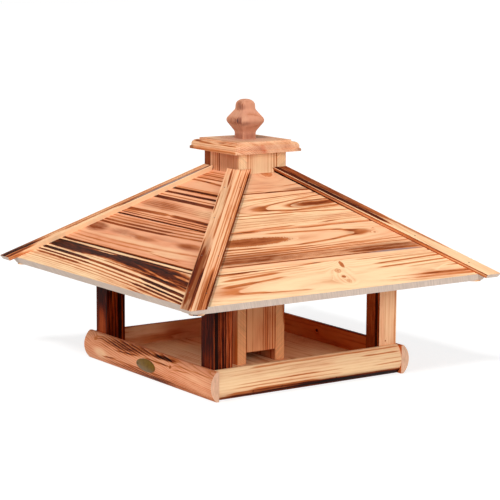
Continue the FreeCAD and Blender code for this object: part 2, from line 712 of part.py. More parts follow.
plate_face = doc.addObject("Part::Cylinder", "plate_face")
bind(plate_face, Radius=f"{RAIL_ARC} + Sizes.plate_thick", Height="Sizes.tray_width")
plate_back = doc.addObject("Part::Cylinder", "plate_back")
bind(plate_back, Radius=RAIL_ARC, Height="Sizes.tray_width")
for tube in (plate_face, plate_back):
    place(tube, (f"-{PLATE_OUT} + {RAIL_ARC}", f"-{HALF_TRAY}", "Sizes.rail_height / 2"),
          turned=Rotation(Vector(1, 0, 0), -90))
oval = doc.addObject("Part::Ellipse", "oval")
bind(oval, MajorRadius="Sizes.plate_length / 2", MinorRadius="Sizes.plate_height / 2")
oval_prism = doc.addObject("Part::Extrusion", "oval_prism")
oval_prism.Base = oval
oval_prism.Dir = Vector(0, 0, 1)
oval_prism.DirMode = "Custom"
oval_prism.Solid = True
oval_prism.setExpression("LengthFwd", "Sizes.rail_depth")
place(oval_prism, (f"-{PLATE_OUT} - Sizes.plate_thick * 2", "Sizes.plate_along", "Sizes.rail_height / 2"),
      turned=Rotation(Vector(1, 1, 1), 120))
plate_shell = cut("plate_shell", plate_face, plate_back)
plate_blank = common("plate_blank", plate_shell, oval_prism)
keep("name_plate", cut("plate", plate_blank, group("plate_holes", [tack_hole, far_tack_hole])))

# Fasteners, one group of separate solids for each kind and place

keep("floor_screws", both_sides(
    "floor_screw_set", [both_sides("floor_screws_left", [post_screw, silo_foot_screw], ACROSS_Y)],
    ACROSS_X))
keep("rail_screws", both_sides(
    "rail_screw_set", [both_sides("rail_screws_left", [left_rail_screw, front_rail_screw], ACROSS_Y)],
    ACROSS_X))
keep("rafter_screws", both_sides(
    "rafter_screw_set", [both_sides("rafter_screws_left", [rafter_screw], ACROSS_Y)], ACROSS_X))
keep("silo_screws", both_sides(
    "silo_screw_set", [both_sides("silo_screws_left", silo_screws, ACROSS_Y)], ACROSS_X))
keep("roof_nails", both_sides(
    "roof_nail_set", [both_sides("roof_nails_left", [nails_at_hip], ACROSS_Y)], ACROSS_X))
pins_at_hip = both_sides("pins_at_hip", [piece for piece, hole in pins], ACROSS_HIP)
keep("cover_pins", both_sides(
    "cover_pin_set", [both_sides("cover_pins_left", [pins_at_hip], ACROSS_Y)], ACROSS_X))
keep("plate_tacks", group("plate_tack_set", [tack, far_tack]))
keep("lid_block_screws", both_sides("block_screw_set", [block_screw], ACROSS_Y))
keep("finial_screw", knob_screw)

# Check every object and every piece, then write the pieces

doc.recompute()
for obj in doc.Objects:
    if "Invalid" in obj.State or "Error" in obj.State:
        raise RuntimeError(f"{obj.Name} ({obj.Label}) failed: {obj.State}")
for name, obj in NODES.items():
    if obj.Shape.isNull() or not obj.Shape.isValid() or not obj.Shape.Solids:
        raise RuntimeError(f"{name} has no valid solid")
os.makedirs("parts", exist_ok=True)
for name, obj in NODES.items():
    obj.Shape.exportStep(f"parts/{name}.step")
    print(f"{name}: {len(obj.Shape.Solids)} solid(s), {obj.Shape.Volume / 1000:.1f} cm3")
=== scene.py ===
import math

import bpy
from bpy.props import FloatProperty, FloatVectorProperty, PointerProperty
from mathutils import Matrix, Vector


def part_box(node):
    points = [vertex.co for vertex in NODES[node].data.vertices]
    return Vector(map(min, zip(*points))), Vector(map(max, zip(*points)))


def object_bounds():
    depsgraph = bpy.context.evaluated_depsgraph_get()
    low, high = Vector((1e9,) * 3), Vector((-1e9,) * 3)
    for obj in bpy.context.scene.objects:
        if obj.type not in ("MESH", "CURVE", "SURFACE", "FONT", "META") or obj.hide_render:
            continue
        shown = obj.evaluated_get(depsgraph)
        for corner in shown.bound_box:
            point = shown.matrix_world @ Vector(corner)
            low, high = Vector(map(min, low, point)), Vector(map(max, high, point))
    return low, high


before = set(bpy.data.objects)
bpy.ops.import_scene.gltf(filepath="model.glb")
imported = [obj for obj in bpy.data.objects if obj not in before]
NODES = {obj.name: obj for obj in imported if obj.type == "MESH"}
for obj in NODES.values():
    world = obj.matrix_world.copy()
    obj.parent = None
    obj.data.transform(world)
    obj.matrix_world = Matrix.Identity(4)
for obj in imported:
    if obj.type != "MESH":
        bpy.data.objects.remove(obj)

# Finishes of a bird table of flame-scorched, brushed pine, and the stage it is shown on.
# Every wooden piece has its own figure: growth rings round a heart line that runs under the face,
# burnt darkest just outside each ring, with streaks, patches and knots at places given in
# millimetres on the piece. Along is the way of the grain, across lies in the face, and deep is
# square to both. The places of these are written as tuples:
#   streaks: from and to along, place across at both ends, half width, weight
#   patches of burn, smoke, rosiness, stain or painted shade: place, half size, weight; on a roof
#   board both are given in the face alone
#   knots and dots: place, half size, darkness

bl_info = {
    "name": "Bird Table",
    "version": (1, 0, 0),
    "blender": (4, 5, 0),
    "location": "View3D > Sidebar > Bird Table",
    "description": "Finishes a bird table of scorched pine and sets up its stage",
    "category": "Object",
}

MM = 0.001

# How far a surface must face a way to count as facing it: where that starts, and where it is full
FACING = (0.55, 0.75)
SQUARELY = (0.75, 0.9)

STREAK_END = 14.0        # length over which a streak fades in and out, mm
FACE_REACH = 20          # how deep a roof board's patches reach, mm
FLANGE_SHIFT = 60        # how far apart the figures of a hip cover's two flanges are set, mm
SPECULAR = 0.04          # of matt wood
ROUGHNESS = (0.66, 0.55)  # of pale wood and of char
RELIEF = 0.0004          # height of the grain's relief, m
RELIEF_STRENGTH = 0.55
SCRATCHES = 0.0001       # height of the scratches in metal, m
SCRATCH_STRENGTH = 0.3
WORN = 0.8               # brightness of worn metal beside its tint
WELD_GAP = 0.00001       # points nearer than this are one point, m
COPLANAR = math.radians(0.5)
SHARP = math.radians(35)
SEED_STEP = (13.7, 7.9, 5.3)    # how far apart two seeds take their noise

SIDES = ("front", "left", "back", "right")
CORNERS = ("front_left", "front_right", "back_left", "back_right")


def corners_of_box(bounds):
    """A box as plain lists of numbers."""
    return [list(corner) for corner in bounds]


CAD_BOX = corners_of_box(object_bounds())


def length(name, text, default, **more):
    """Property for a length that is shown in the user's units."""
    return FloatProperty(name=name, description=text, default=default, unit="LENGTH", precision=4,
                         **more)


def colour(name, text, *default):
    """Property for a colour, given as the values that a picture of it would have."""
    return FloatVectorProperty(name=name, description=text, default=default, subtype="COLOR_GAMMA",
                               min=0, max=1)


class BirdTableSizes(bpy.types.PropertyGroup):
    roof_pitch: FloatProperty(name="Roof pitch", description="Slope of the roof boards",
                              default=math.radians(33.5), subtype="ANGLE")
    eave_height: length("Eave height", "Top edge of the eave above the underside", 0.1815)
    roof_half: length("Half roof", "Half the side of the roof at the top edge of the eave", 0.302)
    first_course: length("First course", "Width of the lowest roof board", 0.073)
    board_cover: length("Board cover", "Width that each other roof board covers", 0.085)
    board_thick: length("Board thickness", "Thickness of a roof board", 0.015)
    arris: length("Arris", "Rounding of the sawn pieces' edges", 0.0005, min=0)
    knob_arris: length("Knob arris", "Rounding of the knob's edges", 0.0016, min=0)
    metal_arris: length("Metal arris", "Rounding of the brass plate's edge", 0.00015, min=0)


class BirdTableColours(bpy.types.PropertyGroup):
    pale: colour("Pale pine", "Pine that the flame hardly touched", 0.98, 0.83, 0.65)
    rosy: colour("Rosy pine", "Pine that the flame warmed to salmon", 0.92, 0.63, 0.48)
    tan: colour("Flame tan", "Lightly scorched wood", 0.80, 0.47, 0.27)
    brown: colour("Flame brown", "Scorched wood", 0.57, 0.27, 0.13)
    dark: colour("Burnt brown", "Heavily scorched wood", 0.33, 0.13, 0.06)
    char: colour("Char", "Wood burnt black", 0.13, 0.055, 0.03)
    sawn: colour("Sawn edge", "Sawn cut, left raw", 0.87, 0.79, 0.73)
    end_grain: colour("End grain", "Raw end of a rail", 0.87, 0.71, 0.60)
    smoke: colour("Smoke", "Tint of places that the smoke browned", 0.60, 0.44, 0.34)
    stain: colour("Blue stain", "Grey-blue stain in the pine", 0.55, 0.54, 0.56)
    brass: colour("Brass", "Dulled brass of the plate and its tacks", 0.46, 0.33, 0.08)
    # Painted shade: a darker, more orange tint multiplied into faces and spots that lie in shade under
    # the roof
    unbleached: colour("Painted shade", "Tint of faces under the roof, which no sun has bleached",
                       0.93, 0.66, 0.42)
    pin: colour("Pin", "Brown lacquer of the pins in the covers", 0.30, 0.17, 0.11)
    steel: colour("Steel", "Zinc-plated steel of the fasteners", 0.70, 0.70, 0.70)


class BirdTableStage(bpy.types.PropertyGroup):
    azimuth: FloatProperty(name="Camera azimuth", description="Turn of the camera to the left",
                           default=math.radians(34.646), subtype="ANGLE")
    elevation: FloatProperty(name="Camera elevation", description="Height angle of the camera",
                             default=math.radians(9.101), subtype="ANGLE")
    roll: FloatProperty(name="Camera roll", description="Tilt of the camera about its own axis",
                        default=math.radians(0.347), subtype="ANGLE")
    distance: length("Camera distance", "From the camera to the point it looks at", 3.269)
    aside: length("Aim aside", "Aim of the camera to the right of the middle", 0.0096)
    up: length("Aim height", "Height at which the camera looks", 0.2061)
    lens: FloatProperty(name="Lens", description="Focal length on a 36 mm sensor", default=134.23)
    sky: FloatProperty(name="Sky", description="Strength of the even light all round", default=0.20)
    key: FloatProperty(name="Key light", description="Strength of the high light", default=1.75)
    front_fill: FloatProperty(name="Front fill", description="Strength of the low light in front",
                              default=1.38)
    left_fill: FloatProperty(name="Left fill", description="Strength of the low light on the left",
                             default=0.68)
    floor: colour("Floor", "Colour of the floor", 0.93, 0.93, 0.93)
    shadow: FloatProperty(name="Shadow", description="How strongly the floor shows the shadow",
                          default=0.35)
    glow: FloatProperty(name="Glow", description="What lifts the floor to white", default=0.78)
    reach: length("Reach", "From the middle to the edge of the floor", 20.0)
    below: length("Below", "Gap between the floor and the underside", 0.0005)


def sizes():
    """Lengths and angles that the panel shows."""
    return bpy.context.scene.bird_table_sizes


def colours():
    """Colours that the panel shows."""
    return bpy.context.scene.bird_table_colours


def stage():
    """Settings of the camera, the lamps and the floor that the panel shows."""
    return bpy.context.scene.bird_table_stage


def linear(value):
    """A picture colour as the linear colour, with alpha, that shaders take."""
    def channel(c):
        return c / 12.92 if c <= 0.04045 else ((c + 0.055) / 1.055) ** 2.4
    return (*(channel(c) for c in value), 1.0)


class Graph:
    """Short forms for building one shader node tree."""

    def __init__(self, tree):
        self.tree = tree

    def feed(self, socket, value):
        """Link a socket to another one, or set its number, vector or colour."""
        if isinstance(value, bpy.types.NodeSocket):
            self.tree.links.new(value, socket)
        elif value is not None:
            socket.default_value = value

    def node(self, kind, values=(), **settings):
        """New node with its settings, and its inputs filled in order or by name."""
        made = self.tree.nodes.new("ShaderNode" + kind)
        for name, value in settings.items():
            setattr(made, name, value)
        pairs = values.items() if isinstance(values, dict) else enumerate(values)
        for key, value in pairs:
            self.feed(made.inputs[key], value)
        return made

    def math(self, operation, *values, clamp=False):
        return self.node("Math", values, operation=operation, use_clamp=clamp).outputs[0]

    def chain(self, operation, values):
        """Numbers taken together one after the other."""
        result = values[0]
        for value in values[1:]:
            result = self.math(operation, result, value)
        return result

    def total(self, *values):
        return self.chain("ADD", values)

    def times(self, *values):
        return self.chain("MULTIPLY", values)

    def limit(self, value, most):
        """Number kept between nothing and the most that it may be."""
        return self.math("MINIMUM", self.math("MAXIMUM", value, 0.0), most)

    def vector(self, operation, *values):
        made = self.node("VectorMath", values, operation=operation)
        return made.outputs["Value" if operation in ("DOT_PRODUCT", "LENGTH") else "Vector"]

    def scaled(self, vector, factor):
        return self.vector("SCALE", vector, None, None, factor)

    def place(self):
        """Point on the object, in the frame's metres."""
        return self.node("TexCoord").outputs["Object"]

    def group(self, make, numbers, **linked):
        """One of the shared node groups, with its numbers and its linked inputs."""
        made = self.node("Group")
        made.node_tree = shared(make)
        for key, value in {**numbers, **linked}.items():
            self.feed(made.inputs[key], value)
        return made

    def join(self, x, y, z):
        return self.node("CombineXYZ", (x, y, z)).outputs[0]

    def split(self, vector):
        return self.node("SeparateXYZ", (vector,)).outputs

    def step(self, value, start, end, low=0.0, high=1.0):
        """Smooth step of a value from low at start to high at end."""
        return self.node("MapRange", {"Value": value, "From Min": start, "From Max": end,
                                      "To Min": low, "To Max": high},
                         interpolation_type="SMOOTHSTEP").outputs["Result"]

    def between(self, factor, low, high):
        """Plain mix of two numbers."""
        return self.math("MULTIPLY_ADD", factor, self.math("SUBTRACT", high, low), low)

    def blend(self, factor, first, second, mode="MIX"):
        """Mix of two colours."""
        made = self.node("Mix", data_type="RGBA", blend_type=mode)
        for name, value in (("Factor_Float", factor), ("A_Color", first), ("B_Color", second)):
            self.feed(next(s for s in made.inputs if s.identifier == name), value)
        return next(s for s in made.outputs if s.identifier == "Result_Color")

    def noise(self, point, scales, detail=1.0, seed=None):
        """Noise about zero, from -1 to 1, of a point in millimetres with a scale for each way."""
        scaled = self.vector("MULTIPLY", point, scales)
        if seed is not None:
            scaled = self.vector("ADD", scaled, self.scaled(SEED_STEP, seed))
        made = self.node("TexNoise", {"Vector": scaled, "Scale": 1.0, "Detail": detail})
        return self.math("MULTIPLY_ADD", made.outputs[0], 2.0, -1.0)


# Scorched pine: node groups that each wooden piece's material feeds with its own figure

BEND = {"Drift": 0.0, "Bend": 0.0, "Sway": 2.0, "Seed": 1.0}
FIGURE = {
    "Heart": 0.0, "Depth": 40.0, "Ring": 4.5, "Taper": 0.01, "Closer": 0.4, "Shift": 0.0,
    "Nearest": -90.0, "Burn": 0.25, "Streak": 0.25, "Mottle": 0.15, "Rosy": 0.5, "Seed": 1.0,
    "Knot": 0.0, "Edge": 0.0,
}
STREAK = {"From": 0.0, "To": 100.0, "Start": 0.0, "End": 0.0, "Half": 1.0, "Weight": 0.5}

# Streaks, patches and knots: how their edges fade, wander and vary, in millimetres or as a share
STREAK_EDGE = 0.7
STREAK_RAGGED = 0.5
STREAK_UNEVEN = 0.35
PATCH_FADE = (1.0, 0.35)
KNOT_FADE = (1.05, 0.75)
KNOT_RAGGED = 0.25
KNOT_EYES = (9.0, 0.05)      # how close a knot's own rings are, and how dark
KNOT_PUSH = (-0.22, -1.6)    # how soon the push of a knot on the rings round it fades, and its size
SMOKE_UNEVEN = (0.7, 0.9)

# The rings. Tone runs from 0, untouched, to 1, char, and burn is how hard the flame bit. A pair that
# depends on burn gives the value in pale wood and in burnt wood.
QUICK_SWAY = 0.4
UNEVEN_RINGS = 0.5           # how far the rings differ in width, in rings
WAVY_RINGS = 0.12            # how far a ring wavers on its way, in rings
CROWDING = 0.03              # how much the rings close up for each millimetre outwards
RING_APART, SEED_APART = 217.0, 91.0
SPREAD = 2.0                 # noise seldom passes a half, so burn takes it doubled
HOTTEST = 1.3                # burn beyond this shows no more
RING_EDGE = 0.06             # share of a ring over which its dark side sets in
FADE_POWER = (2.4, 0.2)      # by burn: how fast the dark side fades outwards
RING_TONE = (0.1, 1.0)       # by burn: tone of the dark side
LATE_WOOD = (0.6, 0.97)      # share of a ring at which its late wood starts, and is full
LATE_TONE = 0.1
EMBER = (0.75, 1.25)         # burn at which the whole wood starts to char, and is charred
EMBER_TONE = 0.85
FIBRE_TONE = (0.05, 0.13)    # by burn: how uneven fibres make the tone
FLECK_TONE = (0.05, 0.34)    # by burn: how uneven flecks make it
PATCH_TONE = 0.03
ROSY_PATCHES, ROSY_RINGS = 0.35, 0.2
FLAMED = 0.36                # tone from which the flame's colours hide the pine's own
FINE_LINES = 0.05
RING_RELIEF, FIBRE_RELIEF, CHAR_RELIEF = 0.2, 0.3, -0.15


def new_group(name, numbers, results):
    """A fresh node group that takes a point and the named numbers."""
    tree = bpy.data.node_groups.new(name, "ShaderNodeTree")
    tree.interface.new_socket("Point", in_out="INPUT", socket_type="NodeSocketVector")
    for key in numbers:
        tree.interface.new_socket(key, in_out="INPUT", socket_type="NodeSocketFloat")
    for key, kind in results.items():
        tree.interface.new_socket(key, in_out="OUTPUT", socket_type="NodeSocket" + kind)
    given = tree.nodes.new("NodeGroupInput").outputs
    out = tree.nodes.new("NodeGroupOutput").inputs
    return Graph(tree), given, out


def bent_grain():
    """Group that follows the run of the grain: it straightens a bent and swaying figure."""
    g, given, out = new_group("bent_grain", BEND, {"Point": "Vector"})
    along, across, deep = g.split(given["Point"])
    slow = g.noise(given["Point"], (0.0045, 0.012, 0.012), 1.0, given["Seed"])
    quick = g.noise(given["Point"], (0.02, 0.06, 0.06), 2.0, given["Seed"])
    sway = g.times(given["Sway"], g.math("MULTIPLY_ADD", quick, QUICK_SWAY, slow))
    bend = g.total(g.times(given["Drift"], along), g.times(given["Bend"], g.math("POWER", along, 2.0)))
    g.feed(out["Point"], g.join(along, g.total(across, g.times(bend, -1.0), sway), deep))
    return g.tree


def charred_streak():
    """Group for one streak along the grain, with soft ends and a ragged edge."""
    g, given, out = new_group("charred_streak", STREAK, {"Tone": "Float"})
    along, across, _ = g.split(given["Point"])
    line = g.node("MapRange", {"Value": along, "From Min": given["From"], "From Max": given["To"],
                               "To Min": given["Start"], "To Max": given["End"]}).outputs[0]
    ragged = g.noise(given["Point"], (0.03, 0.5, 0.5), 2.0)
    away = g.math("MULTIPLY_ADD", ragged, STREAK_RAGGED,
                  g.math("ABSOLUTE", g.math("SUBTRACT", across, line)))
    first = g.step(along, g.math("SUBTRACT", given["From"], STREAK_END),
                   g.total(given["From"], STREAK_END))
    last = g.step(along, g.total(given["To"], STREAK_END),
                  g.math("SUBTRACT", given["To"], STREAK_END))
    ends = g.times(first, last)
    half = g.times(given["Half"], g.math("POWER", ends, 0.6))
    side = g.step(away, g.total(half, STREAK_EDGE), g.math("SUBTRACT", half, STREAK_EDGE))
    cloud = g.noise(given["Point"], (0.012, 0.05, 0.05), 1.0)
    uneven = g.math("MULTIPLY_ADD", cloud, STREAK_UNEVEN, 1.0)
    lengthwise = g.times(g.math("POWER", ends, 0.5), uneven)
    g.feed(out["Tone"], g.times(side, lengthwise, given["Weight"]))
    return g.tree


def scorched_pine():
    """Group for the colour and relief of flame-scorched pine at a point of the straightened grain."""
    g, given, out = new_group("scorched_pine", FIGURE,
                              {"Colour": "Color", "Height": "Float", "Tone": "Float"})
    point, seed = given["Point"], given["Seed"]
    along, across, deep = g.split(point)

    # Distance from the heart line, counted in rings
    aside = g.math("SUBTRACT", across, given["Heart"])
    below = g.total(given["Depth"], deep, g.times(given["Taper"], along))
    below = g.math("MAXIMUM", below, given["Nearest"])
    radius = g.math("SQRT", g.total(g.math("POWER", aside, 2.0), g.math("POWER", below, 2.0)))
    outward = g.math("SUBTRACT", radius, given["Depth"])
    crowded = g.math("MULTIPLY_ADD", g.times(outward, given["Closer"]), CROWDING, 1.0)
    uneven = g.noise(g.join(outward, seed, 0.0), (0.09, 3.1, 1.0), 1.0)
    wavy = g.noise(point, (0.03, 0.12, 0.12), 2.0, seed)
    rings = g.total(g.math("DIVIDE", g.times(outward, crowded), given["Ring"]), given["Shift"],
                    g.times(uneven, UNEVEN_RINGS), g.times(wavy, WAVY_RINGS))
    number = g.math("FLOOR", rings)
    phase = g.math("FRACT", rings)

    # How hard the flame bit here
    by_ring = g.noise(g.join(along, g.times(number, RING_APART), g.times(seed, SEED_APART)),
                      (0.007, 0.0173, 0.019), 1.0)
    patchy = g.noise(point, (0.011, 0.04, 0.04), 2.0, seed)
    fleck = g.noise(point, (0.05, 0.33, 0.33), 3.0, seed)
    fibre = g.noise(g.join(along, g.math("MULTIPLY_ADD", deep, 0.37, across), deep), (0.02, 0.36, 0.40),
                    1.5, seed)
    burn = g.total(given["Burn"], g.times(given["Streak"], g.times(by_ring, SPREAD)),
                   g.times(given["Mottle"], g.times(patchy, SPREAD)))
    burn = g.limit(burn, HOTTEST)
    capped = g.math("MINIMUM", burn, 1.0)

    # Dark just outside each ring, fading outwards; in hard-burnt places only the late wood stays light
    power = g.between(g.math("POWER", capped, 0.7), *FADE_POWER)
    fade = g.math("POWER", g.math("SUBTRACT", 1.0, phase), power)
    crisp = g.step(phase, 0.0, RING_EDGE)
    strength = g.between(g.math("POWER", capped, 0.75), *RING_TONE)
    dark = g.times(fade, crisp, strength)
    late = g.times(g.step(phase, *LATE_WOOD), g.times(g.math("SUBTRACT", 1.0, capped), LATE_TONE))
    ember = g.times(g.step(burn, *EMBER), EMBER_TONE)
    grainy = g.times(fibre, g.between(capped, *FIBRE_TONE))
    cloudy = g.times(fleck, g.between(capped, *FLECK_TONE))
    tone = g.total(g.math("MAXIMUM", dark, ember), late, g.times(patchy, PATCH_TONE))
    tone = g.math("MAXIMUM", g.total(tone, given["Edge"]), given["Knot"])
    tone = g.math("ADD", tone, g.total(grainy, cloudy), clamp=True)

    # Colour: the flame warms pale pine to salmon, then tan, brown and black
    palette = colours()
    rosiness = g.total(given["Rosy"], g.times(patchy, ROSY_PATCHES), g.times(by_ring, ROSY_RINGS))
    base = g.blend(g.limit(rosiness, 1.0), linear(palette.pale), linear(palette.rosy))
    ramp = g.tree.nodes.new("ShaderNodeValToRGB")
    stops = ((0.0, palette.tan), (0.34, palette.tan), (0.56, palette.brown), (0.78, palette.dark),
             (1.0, palette.char))
    while len(ramp.color_ramp.elements) < len(stops):
        ramp.color_ramp.elements.new(0.5)
    for element, (place, value) in zip(ramp.color_ramp.elements, stops):
        element.position = place
        element.color = linear(value)
    g.feed(ramp.inputs[0], tone)
    tinted = g.blend(g.step(tone, 0.0, FLAMED), base, ramp.outputs[0])
    fine = g.math("MULTIPLY_ADD", g.noise(point, (0.05, 2.6, 2.6), 1.0, seed), FINE_LINES, 1.0)
    shade = g.scaled(tinted, fine)

    swell = g.math("SINE", g.times(phase, math.pi))
    relief = g.total(g.times(swell, RING_RELIEF), g.times(fibre, FIBRE_RELIEF),
                     g.times(tone, CHAR_RELIEF))
    g.feed(out["Colour"], shade)
    g.feed(out["Height"], relief)
    g.feed(out["Tone"], tone)
    return g.tree


def shared(make):
    """The node group that a function makes, made once."""
    name = make.__name__
    return bpy.data.node_groups[name] if name in bpy.data.node_groups else make()


class Grain:
    """Where a piece's along, across and deep directions start and point, in the frame's metres."""

    def __init__(self, start, along, across, deep):
        self.start = Vector(start)
        self.axes = [Vector(axis).normalized() for axis in (along, across, deep)]

    def point(self, g):
        """Point on the piece in millimetres along, across and deep."""
        moved = g.vector("SUBTRACT", g.place(), tuple(self.start))
        return g.join(*(g.vector("DOT_PRODUCT", moved, tuple(axis / MM)) for axis in self.axes))

    def facing(self, g, direction):
        """How far the surface faces a direction given along, across and deep."""
        normal = g.node("TexCoord").outputs["Normal"]
        world = sum((axis * part for axis, part in zip(self.axes, direction)), Vector())
        return g.vector("DOT_PRODUCT", normal, tuple(world))


def patches_on(g, point, patches):
    """Sum of soft-edged spots, each with its place, half size and weight."""
    result = 0.0
    for place, half, weight in patches:
        reach = g.vector("LENGTH", g.vector("DIVIDE", g.vector("SUBTRACT", point, place), half))
        result = g.total(result, g.step(reach, *PATCH_FADE, 0.0, weight))
    return result


def knots_on(g, point, knots):
    """Darkness of the knots, and how far they push the rings round them."""
    along, across, _ = g.split(point)
    flat = g.join(along, across, 0.0)
    darkness, shift = 0.0, 0.0
    for place, half, weight in knots:
        away = g.vector("SUBTRACT", flat, (*place, 0.0))
        reach = g.vector("LENGTH", g.vector("DIVIDE", away, (*half, 1.0)))
        wavy = g.math("MULTIPLY_ADD", g.noise(point, (0.3, 0.3, 0.3), 2.0), KNOT_RAGGED, reach)
        core = g.step(wavy, *KNOT_FADE)
        closeness, ring_weight = KNOT_EYES
        eyes = g.math("MULTIPLY_ADD", g.math("SINE", g.times(wavy, closeness)), ring_weight, weight)
        darkness = g.math("MAXIMUM", darkness, g.times(core, eyes))
        fading, size = KNOT_PUSH
        push = g.math("POWER", math.e, g.times(g.math("POWER", reach, 2.0), fading))
        shift = g.math("MULTIPLY_ADD", push, size, shift)
    return darkness, shift


def shader_of(material):
    """The graph and the principled shader of a fresh material."""
    material.use_nodes = True
    tree = material.node_tree
    tree.nodes.clear()
    g = Graph(tree)
    shader = g.node("BsdfPrincipled")
    output = g.node("OutputMaterial")
    tree.links.new(shader.outputs[0], output.inputs["Surface"])
    return g, shader


def streaks_on(g, point, streaks):
    """Sum of streaks, each with the values that STREAK names."""
    result = 0.0
    for streak in streaks:
        made = g.group(charred_streak, dict(zip(STREAK, streak)), Point=point)
        result = g.total(result, made.outputs[0])
    return result


def pine(name, grain, figure, patches=(), streaks=(), knots=(), dots=(), rosy=(), smoked=(), stains=(),
         faces=(), painted_shade_faces=(), painted_shade_spots=(), edges=None, finish=None, fold=None):
    """Material of one wooden piece, from its grain, its figure and what the flame did to it, with
    painted shade on the faces and spots that lie in shade.
    """
    material = bpy.data.materials.new(name)
    g, shader = shader_of(material)
    place = grain.point(g)
    flat = place if fold is None else fold(g, place)
    bend = {key: figure.get(key, value) for key, value in BEND.items()}
    values = {key: figure.get(key, value) for key, value in FIGURE.items()}
    point = g.group(bent_grain, bend, Point=flat).outputs["Point"]
    wood = g.group(scorched_pine, values, Point=point)
    burn = g.total(patches_on(g, point, patches), values["Burn"])
    for direction, weight in faces:
        burn = g.total(burn, g.step(grain.facing(g, direction), *FACING, 0.0, weight))
    g.feed(wood.inputs["Burn"], burn)
    if rosy:
        g.feed(wood.inputs["Rosy"], g.total(patches_on(g, point, rosy), values["Rosy"]))
    if knots or dots:
        darkness, shift = knots_on(g, point, knots)
        g.feed(wood.inputs["Knot"], g.math("MAXIMUM", darkness, knots_on(g, point, dots)[0]))
        g.feed(wood.inputs["Shift"], g.total(shift, values["Shift"]))
    edge = streaks_on(g, point, streaks)
    if edges is not None:
        edge = g.total(edge, edges(g, place))
    g.feed(wood.inputs["Edge"], edge)
    surface, height = wood.outputs["Colour"], wood.outputs["Height"]
    if smoked:
        uneven = g.math("MULTIPLY_ADD", g.noise(flat, (0.035, 0.20, 0.20), 3.0), *SMOKE_UNEVEN)
        smoke = g.math("MULTIPLY", patches_on(g, flat, smoked), uneven, clamp=True)
        surface = g.blend(smoke, surface, linear(colours().smoke), "MULTIPLY")
    if stains:
        surface = g.blend(patches_on(g, flat, stains), surface, linear(colours().stain))
    # Painted shade: faces that look a given way, and given spots, are multiplied by the painted shade
    # tint
    for direction, share in painted_shade_faces:
        unbleached = g.step(grain.facing(g, direction), *FACING, 0.0, share)
        surface = g.blend(unbleached, surface, linear(colours().unbleached), "MULTIPLY")
    if painted_shade_spots:
        surface = g.blend(patches_on(g, flat, painted_shade_spots), surface, linear(colours().unbleached), "MULTIPLY")
    if finish is not None:
        surface, height = finish(g, grain, flat, surface, height)
    g.feed(shader.inputs["Base Color"], surface)
    g.feed(shader.inputs["Roughness"], g.step(wood.outputs["Tone"], 0.0, 1.0, *ROUGHNESS))
    shader.inputs["Specular IOR Level"].default_value = SPECULAR
    bump = g.node("Bump", {"Strength": RELIEF_STRENGTH, "Distance": RELIEF, "Height": height})
    g.feed(shader.inputs["Normal"], bump.outputs[0])
    return material


def metal(name, tint, roughness):
    """Material of a metal piece, a little worn and brushed."""
    material = bpy.data.materials.new(name)
    g, shader = shader_of(material)
    place = g.scaled(g.place(), 1 / MM)
    cloud = g.noise(place, (0.12, 0.12, 0.12), 3.0)
    brushed = g.noise(place, (0.1, 0.15, 4.0), 2.0)
    g.feed(shader.inputs["Base Color"],
           g.blend(g.step(cloud, -0.5, 0.6), linear(tint), linear([c * WORN for c in tint])))
    g.feed(shader.inputs["Roughness"], g.math("MULTIPLY_ADD", brushed, 0.08, roughness))
    shader.inputs["Metallic"].default_value = 1.0
    bump = g.node("Bump", {"Strength": SCRATCH_STRENGTH, "Distance": SCRATCHES, "Height": brushed})
    g.feed(shader.inputs["Normal"], bump.outputs[0])
    return material


def lacquer(name, tint):
    """Material of small lacquered metal pieces."""
    material = bpy.data.materials.new(name)
    g, shader = shader_of(material)
    place = g.scaled(g.place(), 1 / MM)
    worn = g.noise(place, (1.5, 1.5, 1.5), 2.0)
    g.feed(shader.inputs["Base Color"],
           g.scaled(linear(tint)[:3], g.math("MULTIPLY_ADD", worn, 0.25, 1.0)))
    shader.inputs["Roughness"].default_value = 0.45
    return material


def dress(node, material, arris=None, segments=2):
    """Give a piece of the frame its material and rounded edges."""
    obj = NODES[node]
    obj.data.materials.clear()
    obj.data.materials.append(material)
    if arris:
        weld = obj.modifiers.new("weld", "WELD")
        weld.merge_threshold = WELD_GAP
        flat = obj.modifiers.new("flat", "DECIMATE")
        flat.decimate_type = "DISSOLVE"
        flat.angle_limit = COPLANAR
        bevel = obj.modifiers.new("arris", "BEVEL")
        bevel.width = arris
        bevel.segments = segments
        bevel.limit_method = "ANGLE"
        bevel.angle_limit = SHARP
        bevel.harden_normals = False
    return obj


# Directions of the four slopes, seen from outside: along to the right, inward to the middle

ALONG = {"front": Vector((1, 0, 0)), "left": Vector((0, -1, 0)),
         "back": Vector((-1, 0, 0)), "right": Vector((0, 1, 0))}
UP = Vector((0, 0, 1))


def inward(side):
    """Level direction from a side to the middle."""
    return UP.cross(ALONG[side])


def slope_grain(side):
    """Along the eave to the right, across up the slope, deep out of its face."""
    s = sizes()
    inner = inward(side)
    up_slope = inner * math.cos(s.roof_pitch) + UP * math.sin(s.roof_pitch)
    return Grain(-inner * s.roof_half + UP * s.eave_height, ALONG[side], up_slope,
                 ALONG[side].cross(up_slope))


def course_edges(course):
    """How far up the slope a course of boards starts and ends, in millimetres."""
    s = sizes()
    low = 0.0 if course == 1 else s.first_course + (course - 2) * s.board_cover
    high = s.first_course + (course - 1) * s.board_cover
    return low / MM, high / MM


# How dark a roof board is on the chamfers along its lower and upper edge, and in the joint below it. On
# the chamfers this is partly charring and partly painted shade; in the joint's bottom it is painted
# shade. A negative value makes a chamfer paler.

CHAMFERS = {"front": (0.45, -0.35, 0.55), "left": (0.40, 0.35, 0.55), "back": (0.22, 0.0, 0.36),
            "right": (0.24, 0.0, 0.36)}


# Where that darkening starts and is full, in millimetres from a board's edge or from its face

